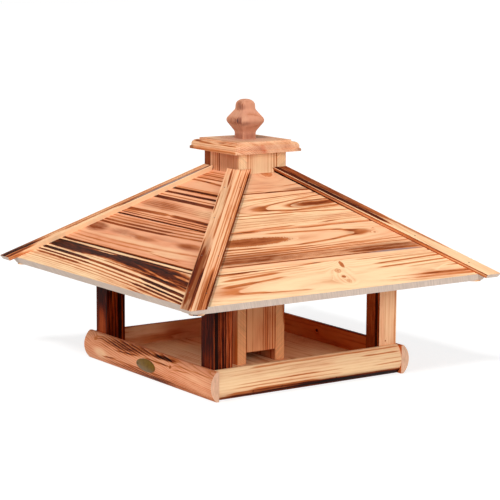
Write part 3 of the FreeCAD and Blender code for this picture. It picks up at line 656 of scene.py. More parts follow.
ARRIS_FADE = (3.4, 2.2)
CHAMFER_FADE = (3.0, 2.0)
CHAMFER_DEPTH = (-0.2, -0.6)
JOINT_SHADE_DEPTH = (-1.6, -2.1)
JOINT_SHADE_UNEVEN = (0.5, 0.9)
ARRIS_SHARE = 0.6        # of the chamfer's darkness
UNDERSIDE = (1.0, 2.0)   # nothing is darkened on the underside, from these heights above it down
EAVE = (30.0, 40.0)      # or on the first board's lowest part
LINE_EDGE = 0.6
LINE_RAGGED = 0.4


def board_edges(side, course, lines=(), chamfers=None):
    """Charred arrises, and grooves darkened by charring and painted shade, at a roof board's long
    edges, and lines straight along it.
    """
    low, high = course_edges(course)
    under = -sizes().board_thick / MM
    lower, upper, joint = chamfers or CHAMFERS[side]

    def darken(g, point):
        _, across, deep = g.split(point)
        ragged = g.noise(point, (0.03, 0.3, 0.3), 2.0)
        from_low = g.math("SUBTRACT", across, low)
        from_high = g.math("SUBTRACT", high, across)
        near_arris = g.math("MULTIPLY_ADD", ragged, 1.0, from_low)
        arris = g.step(near_arris, *ARRIS_FADE, 0.0, lower * ARRIS_SHARE)
        sloped = g.step(deep, *CHAMFER_DEPTH)
        above = g.step(from_low, *CHAMFER_FADE, 0.0, lower)
        below = g.step(from_high, *CHAMFER_FADE, 0.0, upper)
        joint_bottom_shade = g.step(deep, *JOINT_SHADE_DEPTH, 0.0, joint)
        joint_bottom_shade = g.times(joint_bottom_shade, g.math("MULTIPLY_ADD", ragged, *JOINT_SHADE_UNEVEN))
        groove_char_and_shade = g.total(g.times(sloped, g.total(above, below)), joint_bottom_shade)
        visible = g.step(deep, *(under + height for height in UNDERSIDE))
        if course == 1:
            visible = g.times(visible, g.step(across, *EAVE))
        result = g.times(g.total(arris, groove_char_and_shade), visible)
        for place, half, weight in lines:
            waving = g.math("MULTIPLY_ADD", ragged, LINE_RAGGED, across)
            away = g.math("ABSOLUTE", g.math("SUBTRACT", waving, place))
            result = g.total(result, g.step(away, half + LINE_EDGE, half - LINE_EDGE, 0.0, weight))
        return result
    return darken


def sawn(g, point, tint, marks_along):
    """Colour and relief of a raw cut, with slanting marks of the saw."""
    along, across, deep = g.split(point)
    slanted = g.join(g.math("MULTIPLY_ADD", deep, 0.6, along), across, deep) if marks_along else point
    scales = (0.33, 0.02, 0.02) if marks_along else (0.02, 0.10, 0.45)
    marks = g.noise(slanted, scales, 2.0)
    broad = g.noise(slanted, (0.03, 0.05, 0.05), 2.0)
    shade = g.math("MULTIPLY_ADD", marks, 0.30, g.math("MULTIPLY_ADD", broad, 0.10, 1.0))
    return g.scaled(linear(tint)[:3], shade), g.times(marks, 0.5)


def raw_eave(g, grain, point, surface, height):
    """Leave the cut along the eave raw."""
    cut = g.step(grain.facing(g, (0, -1, 0)), *SQUARELY)
    raw, marks = sawn(g, point, colours().sawn, True)
    return g.blend(cut, surface, raw), g.between(cut, height, marks)


def raw_ends(share, slant=0.7, tint=None):
    """Finish that leaves both ends of a piece raw, to a share from 0 to 1, also where cut aslant."""
    def leave(g, grain, point, surface, height):
        facing = g.math("ABSOLUTE", grain.facing(g, (1, 0, 0)))
        cut = g.step(facing, slant, slant + 0.1, 0.0, share)
        raw, marks = sawn(g, point, tint or colours().sawn, False)
        return g.blend(cut, surface, raw), g.between(cut, height, marks)
    return leave


def saw_marked(direction):
    """Finish with slanting marks of the saw on the faces that look one way."""
    def mark(g, grain, point, surface, height):
        along, across, deep = g.split(point)
        slanted = g.join(g.math("MULTIPLY_ADD", deep, 0.9, along), across, deep)
        marks = g.times(g.noise(slanted, (0.45, 0.02, 0.02), 2.0),
                        g.step(grain.facing(g, direction), *SQUARELY))
        shade = g.math("MULTIPLY_ADD", marks, 0.35, 1.0)
        return g.scaled(surface, shade), g.math("MULTIPLY_ADD", marks, 0.3, height)
    return mark


ROOF_BOARDS = {
    ("front", 1): dict(
        figure=dict(Heart=25, Depth=33, Ring=7.0, Taper=-0.036, Closer=0.8, Shift=-0.07, Sway=1,
                    Burn=0.02, Streak=0.03, Mottle=0.03, Rosy=0.03),
        patches=[(-240, 27, 62, 20, 0.20), (200, 9, 130, 14, 0.10)],
        rosy=[(-235, 27, 70, 20, 0.6), (-165, 56, 80, 16, 0.35), (200, 12, 110, 14, 0.5)],
        streaks=[(-225, -140, 65.5, 66, 1.3, 0.55), (-140, -60, 66, 67, 1.0, 0.26),
                 (-222, -165, 62, 64, 1.6, 0.30), (-60, -15, 68, 70, 1.0, 0.25),
                 (-33, -22, 71, 71, 1.2, 0.45), (-215, -110, 50, 57, 2.6, 0.28),
                 (-205, -60, 58, 63, 1.6, 0.16), (-225, -160, 36, 41, 3.0, 0.30),
                 (-165, -105, 40, 46, 2.0, 0.26), (-210, -150, 20, 15.5, 2.2, 0.24),
                 (-160, -70, 15, 11, 1.6, 0.18), (55, 215, 67, 68, 1.0, 0.20),
                 (100, 230, 62, 64, 1.8, 0.18), (90, 232, 53, 58, 1.8, 0.32),
                 (110, 235, 50, 52.5, 1.0, 0.16), (95, 240, 43, 47.5, 1.7, 0.28),
                 (150, 240, 37, 40, 1.6, 0.16), (236, 256, 31, 30, 1.0, 0.50),
                 (165, 272, 16.5, 14.5, 2.6, 0.22), (95, 200, 17.5, 16, 1.2, 0.16),
                 (150, 275, 9.5, 7, 2.0, 0.20), (90, 185, 11, 9.5, 1.0, 0.14),
                 (-260, 260, 71, 72, 1.2, 0.12)],
        knots=[((21, 60), (4.5, 9), 0.42), ((5, 46), (7, 6), 0.22), ((8, 31), (4.5, 3.5), 0.46),
               ((12, 19), (6, 5), 0.20)]),
    ("front", 2): dict(
        figure=dict(Heart=132, Depth=17, Ring=6.1, Taper=0.05, Closer=1.0, Shift=0.11, Sway=1,
                    Burn=0.01, Streak=0.05, Mottle=0.04, Rosy=0.42),
        chamfers=(-0.10, -0.30, 0.05),
        patches=[(103, 134, 42, 14, 0.34), (0, 100, 280, 24, 0.20), (0, 88, 320, 9, 0.18)],
        smoked=[(-115, 133, 95, 13, 0.75), (-150, 95, 130, 18, 0.60), (140, 90, 110, 14, 0.60),
                (0, 90, 320, 12, 0.25), (100, 133, 34, 10, 0.35)],
        stains=[(150, 80, 75, 3.5, 0.55)],
        streaks=[(-75, 70, 149.5, 144.5, 1.9, 0.28), (60, 98, 144, 138.5, 2.2, 0.30),
                 (-30, 50, 117, 122, 1.8, 0.28), (42, 95, 122, 129, 2.0, 0.28),
                 # The dark streaks at 80.5 and the pale one at 76.5 paint the look of a joint: a
                 # painted shadow under the board above and a painted highlight on a chamfer facing up.
                 (-205, 95, 80.5, 80.5, 1.2, 0.50), (95, 210, 80.5, 79.5, 1.2, 0.45),
                 (-240, 240, 76.5, 76, 1.6, -0.35), (-185, -105, 119, 117.5, 1.6, 0.42),
                 (-105, -20, 117.5, 117, 1.2, 0.24), (-185, 0, 112.5, 111, 1.2, 0.26),
                 (-190, -20, 107, 106, 1.5, 0.30), (-20, 190, 106, 110, 1.2, 0.22),
                 (-200, 200, 101, 102, 1.1, 0.22), (-200, 60, 96, 97, 1.2, 0.24),
                 (-210, -105, 90, 89, 3.2, 0.16), (60, 205, 86, 84, 2.4, 0.26),
                 (40, 200, 92, 94, 1.1, 0.20), (-170, -95, 154, 155, 1.2, 0.26),
                 (-5, 50, 155, 156, 1.0, 0.22)],
        knots=[((135, 128), (3, 1.6), 0.42), ((138, 139), (1.6, 1.6), 0.35)],
        dots=[((-122, 133), (90, 10.5), 0.34)]),
    ("front", 3): dict(
        figure=dict(Heart=211, Drift=0.03, Depth=12, Ring=4.6, Taper=-0.088, Closer=0.35,
                    Shift=0.05, Nearest=8.8, Sway=1, Burn=0.10, Streak=0.06, Mottle=0.05, Rosy=0.20),
        chamfers=(0.12, -0.30, 0.18),
        patches=[(65, 213, 85, 13, 0.60), (-60, 210, 34, 13, 0.30), (20, 198, 100, 4, 0.18),
                 (40, 236, 90, 8, 0.16)],
        smoked=[(52, 212.5, 66, 9, 0.60), (-58, 211, 24, 9, 0.35), (0, 180, 150, 10, 0.12)],
        rosy=[(-70, 212, 50, 14, 0.4), (-80, 163, 60, 6, 0.5)],
        streaks=[(-80, -15, 163.5, 163.5, 1.1, 0.40), (48, 72, 163.5, 164, 1.1, 0.40),
                 (-160, -95, 161, 162, 0.9, 0.30), (60, 140, 165, 164, 0.8, 0.16),
                 (-45, 20, 216.5, 225, 1.3, 0.28), (20, 88, 225, 231, 1.3, 0.28),
                 (-55, 10, 206.5, 200.5, 1.5, 0.32), (10, 112, 200, 200.5, 1.7, 0.36),
                 (-112, 10, 199, 195, 1.3, 0.30), (10, 118, 195, 187, 1.3, 0.28),
                 (-118, 0, 192, 189, 1.0, 0.22), (-130, 120, 184, 177, 0.8, 0.16),
                 (-130, 125, 178, 172, 0.8, 0.16), (-135, 130, 172, 169, 0.8, 0.16),
                 (-80, 82, 235, 238, 1.2, 0.22), (62, 85, 240, 240, 2.4, 0.40)]),
    ("front", 4): dict(
        figure=dict(Heart=292, Depth=40, Ring=9.0, Sway=2, Burn=0.0, Streak=0.02, Mottle=0.04,
                    Rosy=0.52),
        chamfers=(-0.15, -0.30, 0.05),
        smoked=[(20, 280, 110, 50, 0.24), (50, 253, 40, 6, 0.5)],
        streaks=[(-75, -5, 249.3, 249.5, 1.5, 0.52), (-15, 75, 250, 249.3, 1.5, 0.55),
                 (-60, -20, 254, 254, 1.0, 0.22), (-70, 70, 246, 246, 1.4, -0.25),
                 (22, 58, 263, 266, 1.2, 0.22), (-50, -28, 275, 273, 0.9, 0.18),
                 (-30, 10, 268, 266, 0.9, 0.12)],
        knots=[((8, 299), (13, 11), 0.30)]),
    ("left", 1): dict(
        figure=dict(Heart=68, Depth=55, Ring=5.0, Drift=-0.048, Bend=-0.000096, Sway=1, Burn=0.10,
                    Streak=0.05, Mottle=0.06, Rosy=0.12),
        patches=[(-170, 52, 150, 18, 1.2), (0, 56, 130, 16, 0.85), (160, 58, 170, 24, 0.95),
                 (205, 65, 45, 3, -0.55)],
        streaks=[(-290, 290, 40.5, 40.5, 1.9, -0.75), (-260, -80, 36.2, 36.2, 3.0, 0.76),
                 (-80, 110, 36, 36, 2.4, 0.50), (110, 275, 36.2, 36.2, 3.2, 0.72),
                 (-270, 275, 31.6, 31.6, 1.2, -0.25), (-270, -60, 28, 28, 1.6, 0.68),
                 (-60, 130, 28, 28, 1.3, 0.38), (130, 275, 28, 28, 1.8, 0.74),
                 (-240, -90, 21.5, 21.5, 1.9, 0.55), (-90, 100, 21.5, 21.5, 1.2, 0.26),
                 (100, 280, 21.5, 21.5, 1.9, 0.62), (-270, 120, 15.5, 15.5, 0.9, 0.26),
                 (120, 285, 15.5, 15.5, 1.3, 0.48), (-280, 100, 10, 10, 0.8, 0.18),
                 (100, 290, 9.5, 9.5, 1.1, 0.40), (-260, 100, 25, 25, 0.9, -0.12),
                 (60, 190, 58, 49, 1.4, -0.30), (170, 260, 52, 47, 1.2, -0.34),
                 (-40, 90, 49, 50, 0.9, -0.28)],
        smoked=[(60, 54, 90, 14, 0.25)],
        lines=[(64.9, 1.1, 0.7), (68.4, 1.1, -0.9)]),
    ("left", 2): dict(
        figure=dict(Heart=113, Depth=33, Ring=5.5, Drift=0.02, Bend=0.00012, Sway=1, Burn=0.03,
                    Streak=0.05, Mottle=0.10, Rosy=0.95),
        patches=[(-175, 113, 48, 13, 0.35), (-20, 113, 60, 7, 0.12), (140, 115, 45, 9, 0.20)],
        smoked=[(-165, 116, 56, 16, 1.0), (-70, 116, 60, 9, 0.50), (0, 113, 50, 8, 0.50),
                (135, 117, 48, 10, 0.70), (60, 122, 60, 6, 0.25), (0, 140, 230, 14, 0.22)],
        rosy=[(0, 100, 260, 7, -0.35), (110, 88, 90, 10, -0.4)],
        streaks=[(-180, 160, 151, 151, 1.1, 0.36), (-190, 150, 145, 145, 1.4, 0.40),
                 (-200, 60, 138, 138, 2.0, 0.52), (60, 170, 138, 138, 1.5, 0.38),
                 (-200, 50, 131, 131, 2.4, 0.56), (50, 175, 131, 131, 1.7, 0.42),
                 (-230, 190, 95, 95, 1.8, 0.18), (-200, 60, 87, 87, 1.7, 0.24),
                 (-160, -100, 87, 87, 1.4, 0.16), (60, 150, 84, 77, 0.8, 0.34),
                 (-215, -120, 80, 80, 1.2, 0.20), (-230, 210, 101, 101, 2.0, -0.10)]),
    ("left", 3): dict(
        figure=dict(Heart=140, Depth=32, Ring=6.0, Sway=1, Burn=0.08, Streak=0.08, Mottle=0.24,
                    Rosy=0.85),
        patches=[(-20, 195, 130, 13, 0.10)],
        smoked=[(-60, 195, 100, 12, 0.40), (0, 194, 150, 12, 0.15)],
        rosy=[(95, 195, 60, 14, -0.4)],
        streaks=[(-160, 150, 163.5, 163.5, 1.1, 0.44), (-150, 145, 167.5, 167.5, 1.1, 0.38),
                 (-140, -6, 174, 176, 3.4, 0.50), (6, 130, 176, 174, 3.4, 0.52),
                 (-130, 125, 181.5, 181, 1.8, -0.28), (-110, 100, 208.5, 207.5, 1.6, -0.20),
                 (-110, 105, 215.2, 214, 3.6, 0.68), (-105, 95, 219.6, 219, 0.8, -0.20),
                 (-105, 95, 222.4, 222, 1.1, 0.46), (-100, 90, 226, 226, 0.9, -0.20),
                 (-95, 88, 230.8, 230.6, 2.4, 0.78), (-85, 85, 235.2, 235.2, 1.2, -0.30)],
        lines=[(160.8, 1.1, -0.25), (240.6, 1.2, 0.5)]),
    ("left", 4): dict(
        figure=dict(Heart=256, Depth=40, Ring=6.5, Sway=1, Burn=0.03, Streak=0.04, Mottle=0.05,
                    Rosy=0.80),
        streaks=[(-75, 70, 247.5, 248, 1.1, 0.24), (-60, 0, 271.5, 270, 2.1, 0.40),
                 (-5, 50, 270, 267, 2.1, 0.40), (-50, 42, 278, 278, 1.7, 0.42),
                 (-48, 38, 282, 282, 1.1, 0.26), (-45, 35, 286, 286, 1.7, 0.42),
                 (-40, 30, 290.5, 290.5, 1.3, 0.36), (-30, 25, 295, 295, 1.3, 0.34)]),
}


def roof_figure(side, course):
    """Figure of a roof board; those of the back and right slopes vary what the others show."""
    if (side, course) in ROOF_BOARDS:
        return ROOF_BOARDS[side, course]
    turn = SIDES.index(side) * 7 + course * 3
    low, high = course_edges(course)
    figure = dict(
        Heart=low + (high - low) * (0.2 + 0.6 * (turn * 0.37 % 1)), Depth=24 + turn * 11 % 31,
        Ring=3.8 + turn * 0.7 % 1.8, Taper=0.03 * math.sin(turn * 2.1), Drift=0.02 * math.sin(turn),
        Burn=0.18 + 0.2 * (turn * 0.61 % 1), Streak=0.22, Rosy=turn * 0.43 % 1)
    reach = (turn * 47 % 200) - 100
    patches = [(reach, low + (high - low) * 0.75, 130, 13, 0.7 * (turn * 0.29 % 1)),
               (-reach, low + (high - low) * 0.25, 160, 10, 0.6 * (turn * 0.53 % 1))]
    return dict(figure=figure, patches=patches)


def through_face(spots):
    """Spots given in a roof board's face, with their depth added."""
    return [((along, across, 0), (half_along, half_across, FACE_REACH), weight)
            for along, across, half_along, half_across, weight in spots]


class DressRoofBoards(bpy.types.Operator):
    """Give every roof board its own figure, with raw sawn edges along the eaves"""
    bl_idname = "bird_table.dress_roof_boards"
    bl_label = "Roof boards"

    def execute(self, context):
        for side in SIDES:
            for course in range(1, 5):
                node = f"roof_{side}_board_{course}"
                look = dict(roof_figure(side, course))
                look["figure"]["Seed"] = 10.0 * SIDES.index(side) + course
                for kind in ("patches", "smoked", "rosy", "stains"):
                    look[kind] = through_face(look.get(kind, ()))
                edges = board_edges(side, course, look.pop("lines", ()), look.pop("chamfers", None))
                made = pine(node, slope_grain(side), edges=edges,
                            finish=raw_eave if course == 1 else None, **look)
                dress(node, made, sizes().arris)
        return {"FINISHED"}


def hip_grain(corner):
    """Along the hip from the eave's corner up, across from the left or right slope to the other."""
    s = sizes()
    out = Vector((1 if "right" in corner else -1, 1 if "back" in corner else -1, 0))
    along = Vector((-out.x, -out.y, math.tan(s.roof_pitch)))
    across = Vector((-out.x, out.y, 0))
    start = out * s.roof_half + UP * s.eave_height
    return Grain(start, along, across, along.cross(across))


def two_flanges(g, point):
    """Set the figures of an angle moulding's flanges apart."""
    along, across, deep = g.split(point)
    apart = g.times(g.math("SIGN", across), FLANGE_SHIFT)
    return g.join(along, across, g.total(deep, apart))


COVERS = {
    "front_left": dict(
        figure=dict(Heart=-50, Depth=60, Ring=6.5, Sway=1, Burn=0.06, Streak=0.10, Rosy=0.45),
        patches=[((25, 14, 60), (90, 12, 60), 0.16)],
        smoked=[((85, -11, -60), (135, 16, 60), 0.85), ((60, -12, -60), (150, 14, 60), 0.45),
                ((20, 12, 60), (90, 16, 60), 0.35), ((330, -8, -60), (90, 12, 60), 0.15)],
        streaks=[(-15, 185, -15, -3.2, 1.1, -0.25), (-15, 90, -4.5, -1.5, 2.4, 0.50),
                 (55, 188, -18.8, -18.8, 1.4, 0.55), (10, 160, -15.5, -13, 3.0, 0.30),
                 (-15, 150, -0.6, -0.6, 1.0, 0.50), (190, 345, -2, -1.4, 0.8, 0.34),
                 (350, 400, -8, -9.5, 1.9, 0.55), (220, 330, -13, -12, 0.8, 0.14),
                 (275, 330, -19, -19, 1.2, 0.50), (-15, 400, 2.0, 1.8, 1.3, -0.30),
                 (-15, 400, 4.8, 5.2, 1.0, 0.22), (-15, 260, 8.0, 8.4, 0.9, 0.18),
                 (200, 400, 8.6, 9.5, 0.7, 0.16), (-15, 100, 10, 11.4, 2.4, 0.30),
                 (-15, 400, 13.4, 14.4, 1.2, 0.34), (-15, 400, 16.8, 17.4, 0.9, 0.26),
                 (-15, 400, 20.2, 20.2, 1.4, 0.65)],
        rosy=[((290, -10, -60), (130, 18, 60), -0.15), ((200, 10, 60), (260, 12, 60), 0.05),
              ((60, 14, 60), (120, 12, 60), 0.3)]),
    "front_right": dict(
        figure=dict(Heart=-50, Depth=60, Ring=7.0, Sway=1, Burn=0.04, Streak=0.05, Mottle=0.05,
                    Rosy=0.10),
        patches=[((310, -10, -60), (150, 20, 60), 0.35)],
        smoked=[((325, 8, 60), (160, 16, 60), 1.0), ((150, 4, 60), (80, 5, 60), 0.35)],
        streaks=[(200, 420, 5, 5, 5.0, 0.24), (195, 420, 15, 16, 3.6, 0.68),
                 (220, 420, 9.5, 10.5, 0.9, 0.30), (80, 200, 2, 4, 1.8, 0.24)],
        sides=0.44, seam=-0.20),
    "back_left": dict(
        figure=dict(Heart=-50, Depth=60, Ring=5.5, Sway=1, Burn=0.06, Streak=0.08, Rosy=0.25),
        patches=[((10, -10, -60), (85, 20, 60), 0.85), ((10, 10, 60), (85, 20, 60), 0.6)],
        streaks=[(120, 390, -11.8, -11.5, 1.2, 0.42), (-15, 400, -5, -4.6, 1.0, 0.40),
                 (-15, 400, -9, -8, 1.0, 0.32), (-15, 400, -2, -2, 0.8, 0.30),
                 (230, 420, -15.4, -15.4, 1.8, 0.70), (60, 420, -18.5, -18.5, 1.6, -0.25)],
        stains=[((325, -15.2, -60), (95, 3.0, 60), 0.75)],
        sides=-0.30),
    "back_right": dict(
        figure=dict(Heart=-50, Depth=60, Ring=5.0, Sway=1, Burn=0.25, Streak=0.20, Rosy=0.35)),
}


SIDE_UNEVEN = 0.35
SEAM_DEPTH = 4.6         # of the middle of a flange's side below its face, mm
SEAM_FADE = (2.0, 1.0)
SIDEWAYS = (0.6, 0.75)   # how far a side must face across, as FACING says


def cover_sides(grain, weight, seam):
    """Darkening of the narrow sides of a hip cover's flanges, and of a line along their middle."""
    def darken(g, point):
        _, _, deep = g.split(point)
        facing = g.math("ABSOLUTE", grain.facing(g, (0, 1, 0)))
        stripes = g.math("MULTIPLY_ADD", g.noise(point, (0.01, 0.2, 0.7), 2.0), SIDE_UNEVEN, weight)
        away = g.math("ABSOLUTE", g.total(deep, SEAM_DEPTH))
        line = g.step(away, *SEAM_FADE, 0.0, seam)
        return g.times(g.step(facing, *SIDEWAYS), g.total(stripes, line))
    return darken


class DressHipCovers(bpy.types.Operator):
    """Give the angle mouldings over the hips their figure, each flange its own"""
    bl_idname = "bird_table.dress_hip_covers"
    bl_label = "Hip covers"

    def execute(self, context):
        for number, corner in enumerate(CORNERS):
            node = f"hip_cover_{corner}"
            look = dict(COVERS[corner])
            look["figure"]["Seed"] = 50.0 + number
            grain = hip_grain(corner)
            sides = cover_sides(grain, look.pop("sides", 0.45), look.pop("seam", 0.0))
            made = pine(node, grain, edges=sides, finish=raw_ends(0.95, 0.55), fold=two_flanges, **look)
            dress(node, made, sizes().arris)
        return {"FINISHED"}


class DressRafters(bpy.types.Operator):
    """Finish the hip rafters under the boards"""
    bl_idname = "bird_table.dress_rafters"
    bl_label = "Hip rafters"

    def execute(self, context):
        for number, corner in enumerate(CORNERS):
            node = f"hip_rafter_{corner}"
            figure = dict(Heart=30, Depth=45, Ring=3.6, Burn=0.05, Rosy=0.2, Seed=60.0 + number)
            # The lower tip of each rafter, under the eave, is darkened as painted shade.
            shaded_tip = [(-40, 40, 0, 0, 3.5, 0.85)]
            made = pine(node, hip_grain(corner), figure, streaks=shaded_tip)
            dress(node, made, sizes().arris)
        return {"FINISHED"}


def charred_box_edges(node, width, weight):
    """Darkening along the edges of a piece that is a box square to the frame."""
    low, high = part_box(node)

    def darken(g, point):
        place = g.place()
        near = g.vector("MINIMUM", g.vector("SUBTRACT", place, tuple(low)),
                        g.vector("SUBTRACT", tuple(high), place))
        x, y, z = g.split(g.scaled(near, 1 / MM))
        second = g.math("MAXIMUM", g.math("MINIMUM", x, y),
                        g.math("MINIMUM", g.math("MAXIMUM", x, y), z))
        ragged = g.noise(point, (0.04, 0.3, 0.3), 2.0)
        return g.step(g.math("MULTIPLY_ADD", ragged, width * 0.8, second), width, 0.0, 0.0, weight)
    return darken


FRONT, LEFT, RIGHT = (0, 0, -1), (0, -1, 0), (0, 1, 0)

# On the posts, the tint by facing is painted shade on faces under the roof, and the extra burn on a
# left face is partly charring and partly painted shade.
POSTS = {
    "front_left": dict(
        figure=dict(Heart=60, Depth=40, Ring=3.2, Sway=3, Burn=0.84, Streak=0.16, Mottle=0.16,
                    Rosy=0.9),
        patches=[((46, 0, 14), (50, 8, 26), -0.34), ((180, 24, 0), (60, 16, 12), 0.15)],
        smoked=[((90, 18, 18), (400, 300, 300), 0.55)],
        streaks=[(-20, 220, 5.6, 6.0, 3.6, 0.50), (-20, 220, 12.5, 12, 0.8, 0.26),
                 (-20, 220, 18, 17, 0.9, 0.28), (-20, 220, 24, 23, 0.8, 0.26),
                 (-20, 220, 30, 29.5, 0.7, 0.22), (-20, 130, 15, 14, 0.7, -0.16),
                 (-20, 220, 21, 20.5, 0.7, -0.16), (-20, 160, 27, 26, 0.8, -0.18),
                 (-20, 220, 34, 34, 1.0, -0.22)],
        faces=[(LEFT, 0.30)], painted_shade_faces=[(LEFT, 1.0), (FRONT, 0.75), (RIGHT, 0.9)]),
    "front_right": dict(
        figure=dict(Heart=60, Depth=40, Ring=4.6, Sway=2, Burn=0.02, Streak=0.05, Mottle=0.06,
                    Rosy=0.42),
        patches=[((110, -3, 9), (400, 7, 4.5), 0.9)],
        streaks=[(-20, 220, 35, 34, 1.0, 0.28), (60, 220, 12, 13, 0.8, 0.14),
                 (-20, 220, 21, 21, 0.8, 0.12)],
        knots=[((58, 14), (1.6, 1.6), 0.50)],
        faces=[(LEFT, 0.72)], painted_shade_faces=[(LEFT, 0.95)]),
    "back_left": dict(
        figure=dict(Heart=60, Depth=40, Ring=3.8, Sway=4, Burn=0.92, Streak=0.16, Mottle=0.14,
                    Rosy=1.0),
        patches=[((50, -2, 18), (56, 12, 18), -0.56), ((150, 0, 18), (70, 20, 60), 0.3)],
        streaks=[(40, 220, 26, 24, 2.0, 0.50), (-20, 120, 8, 5, 1.0, -0.35),
                 (-20, 150, 15, 12, 1.0, -0.35), (-20, 130, 21, 19, 1.0, -0.30),
                 (-20, 110, 33, 31, 1.4, -0.35), (-20, 220, 11, 9, 1.0, 0.2),
                 (-20, 220, 18, 16, 1.0, 0.2)],
        smoked=[((90, 18, 18), (400, 300, 300), 0.55)],
        painted_shade_faces=[(LEFT, 0.9), (FRONT, 1.0), (RIGHT, 0.9)]),
    "back_right": dict(
        figure=dict(Heart=60, Depth=40, Ring=4.0, Burn=0.55, Rosy=0.8),
        painted_shade_faces=[(LEFT, 0.9), (FRONT, 0.9)]),
}


class DressPosts(bpy.types.Operator):
    """Give the corner posts their figure, upright"""
    bl_idname = "bird_table.dress_posts"
    bl_label = "Posts"

    def execute(self, context):
        for number, corner in enumerate(CORNERS):
            node = f"post_{corner}"
            low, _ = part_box(node)
            look = POSTS[corner]
            look["figure"]["Seed"] = 70.0 + number
            grain = Grain((low.x, low.y, 0), (0, 0, 1), (1, 0, 0), (0, 1, 0))
            dress(node, pine(node, grain, **look), sizes().arris)
        return {"FINISHED"}


# On the front and left rails, the burn and smoke spots along the low part are partly charring and
# partly painted shade on the rounded underside. On the back and right rails, the painted shade tint and
# spots paint the shade on the inner faces under the roof.
RAILS = {
    "front": dict(
        figure=dict(Heart=90, Depth=60, Ring=6.5, Sway=1, Burn=0.0, Streak=0.04, Mottle=0.03,
                    Rosy=0.0),
        patches=[((10, 3, 10), (300, 13, 40), 0.34)],
        smoked=[((30, 2, 10), (290, 15, 40), 1.0), ((110, 3, 10), (170, 11, 40), 0.4)],
        streaks=[(-165, 20, 40, 42, 0.8, 0.16), (-165, 215, 7.5, 6, 4.0, 0.26),
                 (20, 220, 4, 4, 4.0, 0.22), (110, 185, 40, 40, 1.0, 0.34),
                 (-150, 40, 36, 37, 0.8, 0.14), (-150, 10, 24, 26, 0.9, 0.18),
                 (-60, 60, 24.5, 25, 0.8, 0.18), (135, 200, 22, 23, 0.9, 0.26),
                 (145, 195, 30, 30, 1.0, 0.20), (-120, 190, 47, 47.5, 1.2, 0.22),
                 (-150, 60, 19, 18, 0.9, 0.20), (-120, 10, 12, 11, 3.0, 0.24),
                 (-30, 90, 8, 6, 3.0, 0.20), (-190, 190, 3, 3, 3.0, 0.30)],
        dots=[((51, 10), (2.2, 1.2), 0.62), ((138, 9), (2.6, 1.3), 0.65), ((-62, 10), (2.2, 1.2), 0.85),
              ((-120, 9), (2.4, 1.2), 0.70)]),
    "left": dict(
        figure=dict(Heart=45, Depth=12, Ring=3.2, Taper=-0.085, Closer=0.3, Shift=0.4, Sway=1,
                    Burn=0.14, Streak=0.10, Mottle=0.08, Rosy=0.90),
        patches=[((-60, 44, 10), (150, 9, 30), 0.62), ((58, 46, 10), (50, 6, 30), 0.50),
                 ((-90, 35, 10), (90, 8, 30), 0.30), ((-30, 6, 10), (140, 12, 40), 0.50),
                 ((100, 3, 10), (160, 13, 40), 0.40), ((-155, 20, 10), (30, 12, 30), -0.25)],
        streaks=[(-95, -25, 33, 36, 0.9, 0.45), (0, 73, 37, 36, 1.0, 0.52), (0, 78, 41, 41, 0.8, -0.20),
                 (94, 135, 34, 36, 0.8, 0.34), (90, 205, 41, 40, 0.8, 0.26),
                 (-140, -100, 14, 18, 1.2, 0.45), (-120, 60, 15.5, 15, 1.2, 0.30),
                 (28, 86, 45.5, 45.5, 2.0, 0.45)],
        knots=[((80, 36), (4, 3), 0.50), ((-172, 41), (6, 4), 0.34)],
        rosy=[((-150, 18, 10), (30, 14, 30), -0.5)]),
    "back": dict(
        figure=dict(Heart=20, Depth=45, Ring=5.0, Burn=0.30, Rosy=0.4),
        patches=[((0, 52, 0), (400, 4, 30), 0.8), ((175, 25, 0), (80, 60, 40), 0.25)],
        faces=[(FRONT, -0.30)],
        painted_shade_spots=[((225, 25, 0), (120, 90, 60), 0.35), ((-60, 25, 0), (160, 90, 60), 0.5)]),
    "right": dict(
        figure=dict(Heart=10, Depth=40, Ring=5.5, Burn=0.30, Rosy=0.7),
        patches=[((0, 52, 0), (400, 4, 30), 0.8)],
        knots=[((40, 34), (4, 3), 0.8)],
        faces=[(FRONT, -0.22)], painted_shade_faces=[(FRONT, 0.95)]),
}


class DressRails(bpy.types.Operator):
    """Give the half-round rails their figure"""
    bl_idname = "bird_table.dress_rails"
    bl_label = "Rails"

    def execute(self, context):
        ends = raw_ends(0.85, tint=colours().end_grain)
        _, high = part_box("floor_panel")
        for number, side in enumerate(SIDES):
            node = f"rail_{side}"
            look = RAILS[side]
            look["figure"]["Seed"] = 80.0 + number
            outward = -inward(side)
            grain = Grain(outward * high.x, ALONG[side], UP, outward)
            dress(node, pine(node, grain, finish=ends, **look), sizes().arris)
        return {"FINISHED"}


class DressFloor(bpy.types.Operator):
    """Finish the floor of the tray"""
    bl_idname = "bird_table.dress_floor"
    bl_label = "Floor"

    def execute(self, context):
        figure = dict(Heart=40, Depth=140, Ring=9.0, Burn=0.05, Streak=0.06, Rosy=0.22, Seed=90.0)
        grain = Grain((0, 0, 0), (0, 1, 0), (1, 0, 0), (0, 0, 1))
        # Painted shade: these spots darken and warm the back and right of the floor, where the roof
        # shades it.
        painted_shade_spots = [((120, 90, 0), (220, 190, 60), 0.50), ((-40, 60, 0), (200, 90, 60), 0.20)]
        made = pine("floor_panel", grain, figure, painted_shade_spots=painted_shade_spots)
        dress("floor_panel", made, sizes().arris)
        return {"FINISHED"}
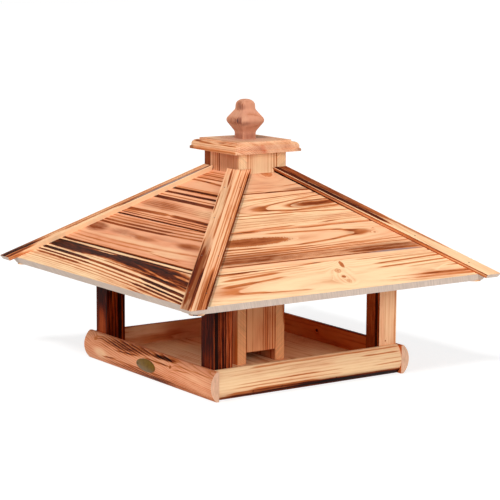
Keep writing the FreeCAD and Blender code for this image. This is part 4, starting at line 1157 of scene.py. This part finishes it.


# On the silo, the painted shade spots darken the low part under the roof and the top of the left side
# under the lid. The left side's two smoke spots lie at the same places and are painted shade too.
SILO = {
    "silo_side_left": dict(
        grain=lambda low, high: Grain((low.x, high.y, 0), (0, 0, 1), (0, -1, 0), (1, 0, 0)),
        figure=dict(Heart=180, Depth=60, Ring=8.0, Sway=1, Burn=0.05, Streak=0.08, Rosy=0.70),
        patches=[((50, 104, 9), (120, 6, 16), -0.30), ((300, 80, 0), (300, 22, 9), 0.06),
                 ((330, 104, 9), (120, 6, 16), -0.14)],
        painted_shade_spots=[((40, 52, -4), (150, 300, 7), 1.0), ((40, 104, 12), (150, 20, 20), 0.56),
              ((352, 76, 0), (200, 46, 6), 0.22)],
        finish=saw_marked((0, 1, 0)),
        smoked=[((40, 52, -4), (150, 300, 7), 0.5), ((352, 76, 0), (200, 46, 6), 0.34)],
        streaks=[(0, 400, 9, 9, 10, 0.50), (0, 400, 27, 27, 1.2, 0.24), (0, 400, 34, 34, 1.4, 0.24),
                 (0, 400, 41, 41, 1.2, 0.30), (0, 400, 46.5, 46.5, 1.7, 0.50),
                 (0, 400, 23, 23, 1.4, -0.20), (0, 400, 52, 52, 1.2, -0.15)],
        rosy=[((200, 104, 9), (400, 6, 16), -1.0)]),
    "silo_side_right": dict(
        grain=lambda low, high: Grain((high.x, low.y, 0), (0, 0, 1), (0, 1, 0), (-1, 0, 0)),
        figure=dict(Heart=30, Depth=34, Ring=5.4, Taper=0.03, Burn=0.12, Streak=0.12, Rosy=0.4),
        patches=[((105, -2, 2), (40, 6, 5), 0.6), ((40, 0, 9), (120, 6, 16), -0.20),
                 ((330, 0, 9), (120, 8, 16), -0.20)],
        painted_shade_spots=[((40, 52, 9), (130, 300, 300), 0.45), ((40, 0, 9), (150, 20, 30), 0.14),
              ((320, 0, 9), (100, 20, 30), 0.20)],
        finish=saw_marked((0, -1, 0)),
        rosy=[((200, 0, 9), (400, 8, 16), -0.5)]),
    "silo_front": dict(
        grain=lambda low, high: Grain((low.x, low.y, 0), (0, 0, 1), (1, 0, 0), (0, 1, 0)),
        figure=dict(Heart=-40, Depth=30, Ring=6.0, Sway=1, Burn=0.0, Streak=0.03, Rosy=0.16),
        patches=[((70, 45, 0), (110, 24, 20), 0.16)],
        streaks=[(0, 400, 43, 43.5, 1.0, 0.16), (0, 400, 50, 50.5, 0.9, 0.14),
                 (0, 400, 56, 56, 1.1, 0.28), (0, 400, 61, 61, 1.0, 0.30), (0, 160, 36, 37, 0.9, 0.26),
                 (0, 160, 40, 41, 0.9, 0.30), (0, 160, 45, 46, 1.0, 0.30), (0, 160, 0.6, 0.6, 1.2, 0.5),
                 (0, 160, 14, 14, 1.1, 0.12)],
        painted_shade_spots=[((40, 30, 9), (130, 300, 300), 0.50)]),
    "silo_back": dict(
        grain=lambda low, high: Grain((high.x, high.y, 0), (0, 0, 1), (-1, 0, 0), (0, -1, 0)),
        figure=dict(Heart=40, Depth=30, Ring=4.0, Burn=0.22, Rosy=0.6)),
}


class DressSilo(bpy.types.Operator):
    """Give the boards of the seed silo their figure, upright"""
    bl_idname = "bird_table.dress_silo"
    bl_label = "Silo"

    def execute(self, context):
        for number, (node, look) in enumerate(SILO.items()):
            low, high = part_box(node)
            look = dict(look)
            grain = look.pop("grain")(low, high)
            look["figure"]["Seed"] = 100.0 + number
            made = pine(node, grain, edges=charred_box_edges(node, 1.0, 0.22), **look)
            dress(node, made, sizes().arris)
        return {"FINISHED"}


class DressLid(bpy.types.Operator):
    """Finish the moulded board of the lid and the block under it"""
    bl_idname = "bird_table.dress_lid"
    bl_label = "Lid"

    def execute(self, context):
        low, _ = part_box("cap_board")
        grain = Grain((0, 0, low.z), (0, 1, 0), (1, 0, 0), (0, 0, 1))
        figure = dict(Heart=-90, Depth=80, Ring=4.6, Sway=2, Burn=0.10, Streak=0.12, Rosy=0.40,
                      Seed=111.0)
        patches = [((0, 0, 21), (200, 200, 3), 0.16), ((-18, -62, 17.5), (16, 6, 4), 0.22),
                   ((-45, -62, 17.5), (9, 5, 4), 0.2), ((52, -62, 16.5), (14, 6, 5), 0.22),
                   ((-72, 10, 10), (12, 90, 14), 0.16)]
        smoked = [((-20, -62, 17.5), (18, 8, 4), 0.45), ((52, -62, 16.5), (15, 8, 5), 0.45),
                  ((-71, 0, 9), (12, 70, 12), 0.20), ((69, -69, 3), (16, 14, 5), 0.9),
                  ((-69, 69, 3), (14, 16, 5), 0.7)]
        painted_shade_spots = [((-71, -10, 10), (9, 8, 16), 0.60), ((-71, -6, 3), (9, 6, 6), 0.30)]
        streaks = [(-80, 60, -68.5, -68.5, 0.8, 0.20), (-66, -22, -64.6, -64.6, 0.6, 0.45),
                   (5, 62, -65, -64.2, 0.7, 0.45)]
        rosy = [((-70, 0, 8), (14, 90, 20), 0.3), ((0, 0, 20), (60, 60, 5), 0.4)]
        stains = [((0, 0, 21), (90, 90, 4), 0.34)]
        made = pine("cap_board", grain, figure, patches, streaks, rosy=rosy, smoked=smoked,
                    stains=stains, painted_shade_spots=painted_shade_spots, finish=raw_ends(0.12))
        dress("cap_board", made, sizes().arris)
        block = dict(Heart=10, Depth=50, Ring=4.5, Burn=0.08, Rosy=0.3, Seed=112.0)
        dress("lid_block", pine("lid_block", grain, block), sizes().arris)
        return {"FINISHED"}


class DressFinial(bpy.types.Operator):
    """Finish the square knob on the lid and round its edges"""
    bl_idname = "bird_table.dress_finial"
    bl_label = "Knob"

    def execute(self, context):
        low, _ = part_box("finial")
        grain = Grain((0, 0, low.z), (0, 0, 1), (1, 0, 0), (0, 1, 0))
        figure = dict(Heart=-6, Depth=95, Ring=4.6, Sway=1, Burn=0.0, Streak=0.03, Mottle=0.20,
                      Rosy=1.0, Seed=121.0)
        patches = [((4, 0, 0), (12, 30, 30), 0.45), ((33, -24, -15), (8, 8, 12), 0.30),
                   ((56, -12, 0), (16, 6, 14), 0.70), ((31, -25, 2), (13, 9, 24), 0.60)]
        smoked = [((35, 0, 0), (70, 60, 60), 0.22), ((33, -24, -15), (9, 9, 13), 0.60),
                  ((27, -18, -24), (7, 18, 7), 0.40), ((55, -12, -9), (8, 6, 9), 0.45),
                  ((4, 0, 0), (12, 30, 30), 0.50)]
        stains = [((35, 0, 0), (90, 70, 70), 0.16)]
        made = pine("finial", grain, figure, patches, smoked=smoked, stains=stains)
        dress("finial", made, sizes().knob_arris, 3)
        return {"FINISHED"}


class DressPlate(bpy.types.Operator):
    """Finish the bare oval plate and its tacks in brass"""
    bl_idname = "bird_table.dress_plate"
    bl_label = "Plate"

    def execute(self, context):
        brass = metal("brass", colours().brass, 0.38)
        dress("name_plate", brass, sizes().metal_arris)
        dress("plate_tacks", brass)
        return {"FINISHED"}


class DressFasteners(bpy.types.Operator):
    """Finish the screws and nails in zinc-plated steel, and the pins in brown lacquer"""
    bl_idname = "bird_table.dress_fasteners"
    bl_label = "Fasteners"

    def execute(self, context):
        steel = metal("steel", colours().steel, 0.35)
        for node in ("floor_screws", "rail_screws", "rafter_screws", "silo_screws", "roof_nails",
                     "lid_block_screws", "finial_screw"):
            dress(node, steel)
        dress("cover_pins", lacquer("brown_lacquer", colours().pin))
        return {"FINISHED"}


def white_to_eye(g, shader, seen):
    """Mix a shader so that the camera, and what reflects or refracts, sees white instead."""
    path = g.node("LightPath").outputs
    eye = g.math("MAXIMUM", path["Is Camera Ray"],
                 g.math("MAXIMUM", path["Is Glossy Ray"], path["Is Transmission Ray"]))
    return g.node("MixShader", (eye, shader, seen)).outputs[0]


class SetStage(bpy.types.Operator):
    """Make the floor, the lamps, the sky and the camera"""
    bl_idname = "bird_table.set_stage"
    bl_label = "Stage"

    def execute(self, context):
        scene, look = context.scene, stage()
        scene.view_settings.view_transform = "Standard"
        self.set_camera(scene, look)
        self.set_sky(scene, look)
        self.set_floor(scene, look)
        self.set_sun(scene, "key_light", look.key, azimuth=-52, elevation=50, spread=10)
        self.set_sun(scene, "front_fill", look.front_fill, azimuth=0, elevation=20, spread=26)
        self.set_sun(scene, "left_fill", look.left_fill, azimuth=-78, elevation=24, spread=30)
        return {"FINISHED"}

    def set_camera(self, scene, look):
        a, e, r = look.azimuth, look.elevation, look.roll
        back = Vector((-math.sin(a) * math.cos(e), -math.cos(a) * math.cos(e), math.sin(e)))
        right = (-back).cross(UP).normalized()
        above = right.cross(-back)
        turned_right = right * math.cos(r) + above * math.sin(r)
        turned_up = above * math.cos(r) - right * math.sin(r)
        data = bpy.data.cameras.new("camera")
        data.lens = look.lens
        data.sensor_width = 36
        camera = bpy.data.objects.new("camera", data)
        place = right * look.aside + UP * look.up + back * look.distance
        turn = Matrix((turned_right, turned_up, back)).transposed().to_4x4()
        camera.matrix_world = Matrix.Translation(place) @ turn
        scene.collection.objects.link(camera)
        scene.camera = camera

    def set_sky(self, scene, look):
        world = bpy.data.worlds.new("sky")
        scene.world = world
        world.use_nodes = True
        world.node_tree.nodes.clear()
        g = Graph(world.node_tree)
        soft = g.node("Background", ((1, 1, 1, 1), look.sky)).outputs[0]
        white = g.node("Background", ((1, 1, 1, 1), 1.0)).outputs[0]
        output = g.node("OutputWorld")
        world.node_tree.links.new(white_to_eye(g, soft, white), output.inputs["Surface"])

    def set_floor(self, scene, look):
        material = bpy.data.materials.new("floor")
        material.use_nodes = True
        material.node_tree.nodes.clear()
        g = Graph(material.node_tree)
        matt = g.node("BsdfDiffuse", (linear(look.floor),)).outputs[0]
        pale = g.node("BsdfDiffuse", ((*[look.shadow] * 3, 1),)).outputs[0]
        glow = g.node("Emission", ((1, 1, 1, 1), look.glow)).outputs[0]
        lifted = g.node("AddShader", (pale, glow)).outputs[0]
        output = g.node("OutputMaterial")
        material.node_tree.links.new(white_to_eye(g, matt, lifted), output.inputs["Surface"])
        mesh = bpy.data.meshes.new("floor")
        reach, low = look.reach, CAD_BOX[0][2] - look.below
        mesh.from_pydata([(-reach, -reach, low), (reach, -reach, low), (reach, reach, low),
                          (-reach, reach, low)], [], [(0, 1, 2, 3)])
        floor = bpy.data.objects.new("floor", mesh)
        mesh.materials.append(material)
        scene.collection.objects.link(floor)

    def set_sun(self, scene, name, strength, azimuth, elevation, spread):
        data = bpy.data.lights.new(name, "SUN")
        data.energy = strength
        data.angle = math.radians(spread)
        lamp = bpy.data.objects.new(name, data)
        a, e = math.radians(azimuth), math.radians(elevation)
        towards = Vector((math.sin(a) * math.cos(e), -math.cos(a) * math.cos(e), math.sin(e)))
        lamp.rotation_euler = towards.to_track_quat("Z", "Y").to_euler()
        lamp.location = towards * 3
        scene.collection.objects.link(lamp)


PIECES = (DressRoofBoards, DressHipCovers, DressRafters, DressPosts, DressRails, DressFloor, DressSilo,
          DressLid, DressFinial, DressPlate, DressFasteners, SetStage)


class BirdTablePanel(bpy.types.Panel):
    """Steps and settings of the bird table"""
    bl_idname = "VIEW3D_PT_bird_table"
    bl_label = "Bird Table"
    bl_space_type = "VIEW_3D"
    bl_region_type = "UI"
    bl_category = "Bird Table"

    def draw(self, context):
        for group in (sizes(), colours(), stage()):
            column = self.layout.column(align=True)
            for name in group.__annotations__:
                column.prop(group, name)
        for piece in PIECES:
            self.layout.operator(piece.bl_idname)


GROUPS = {"bird_table_sizes": BirdTableSizes, "bird_table_colours": BirdTableColours,
          "bird_table_stage": BirdTableStage}


def register():
    for cls in (*GROUPS.values(), *PIECES, BirdTablePanel):
        bpy.utils.register_class(cls)
    for name, group in GROUPS.items():
        setattr(bpy.types.Scene, name, PointerProperty(type=group))


def unregister():
    for name in GROUPS:
        delattr(bpy.types.Scene, name)
    for cls in (BirdTablePanel, *reversed(PIECES), *reversed(GROUPS.values())):
        bpy.utils.unregister_class(cls)


def main():
    register()
    for piece in PIECES:
        group, step = piece.bl_idname.split(".")
        getattr(getattr(bpy.ops, group), step)()


if __name__ == "__main__":
    main()
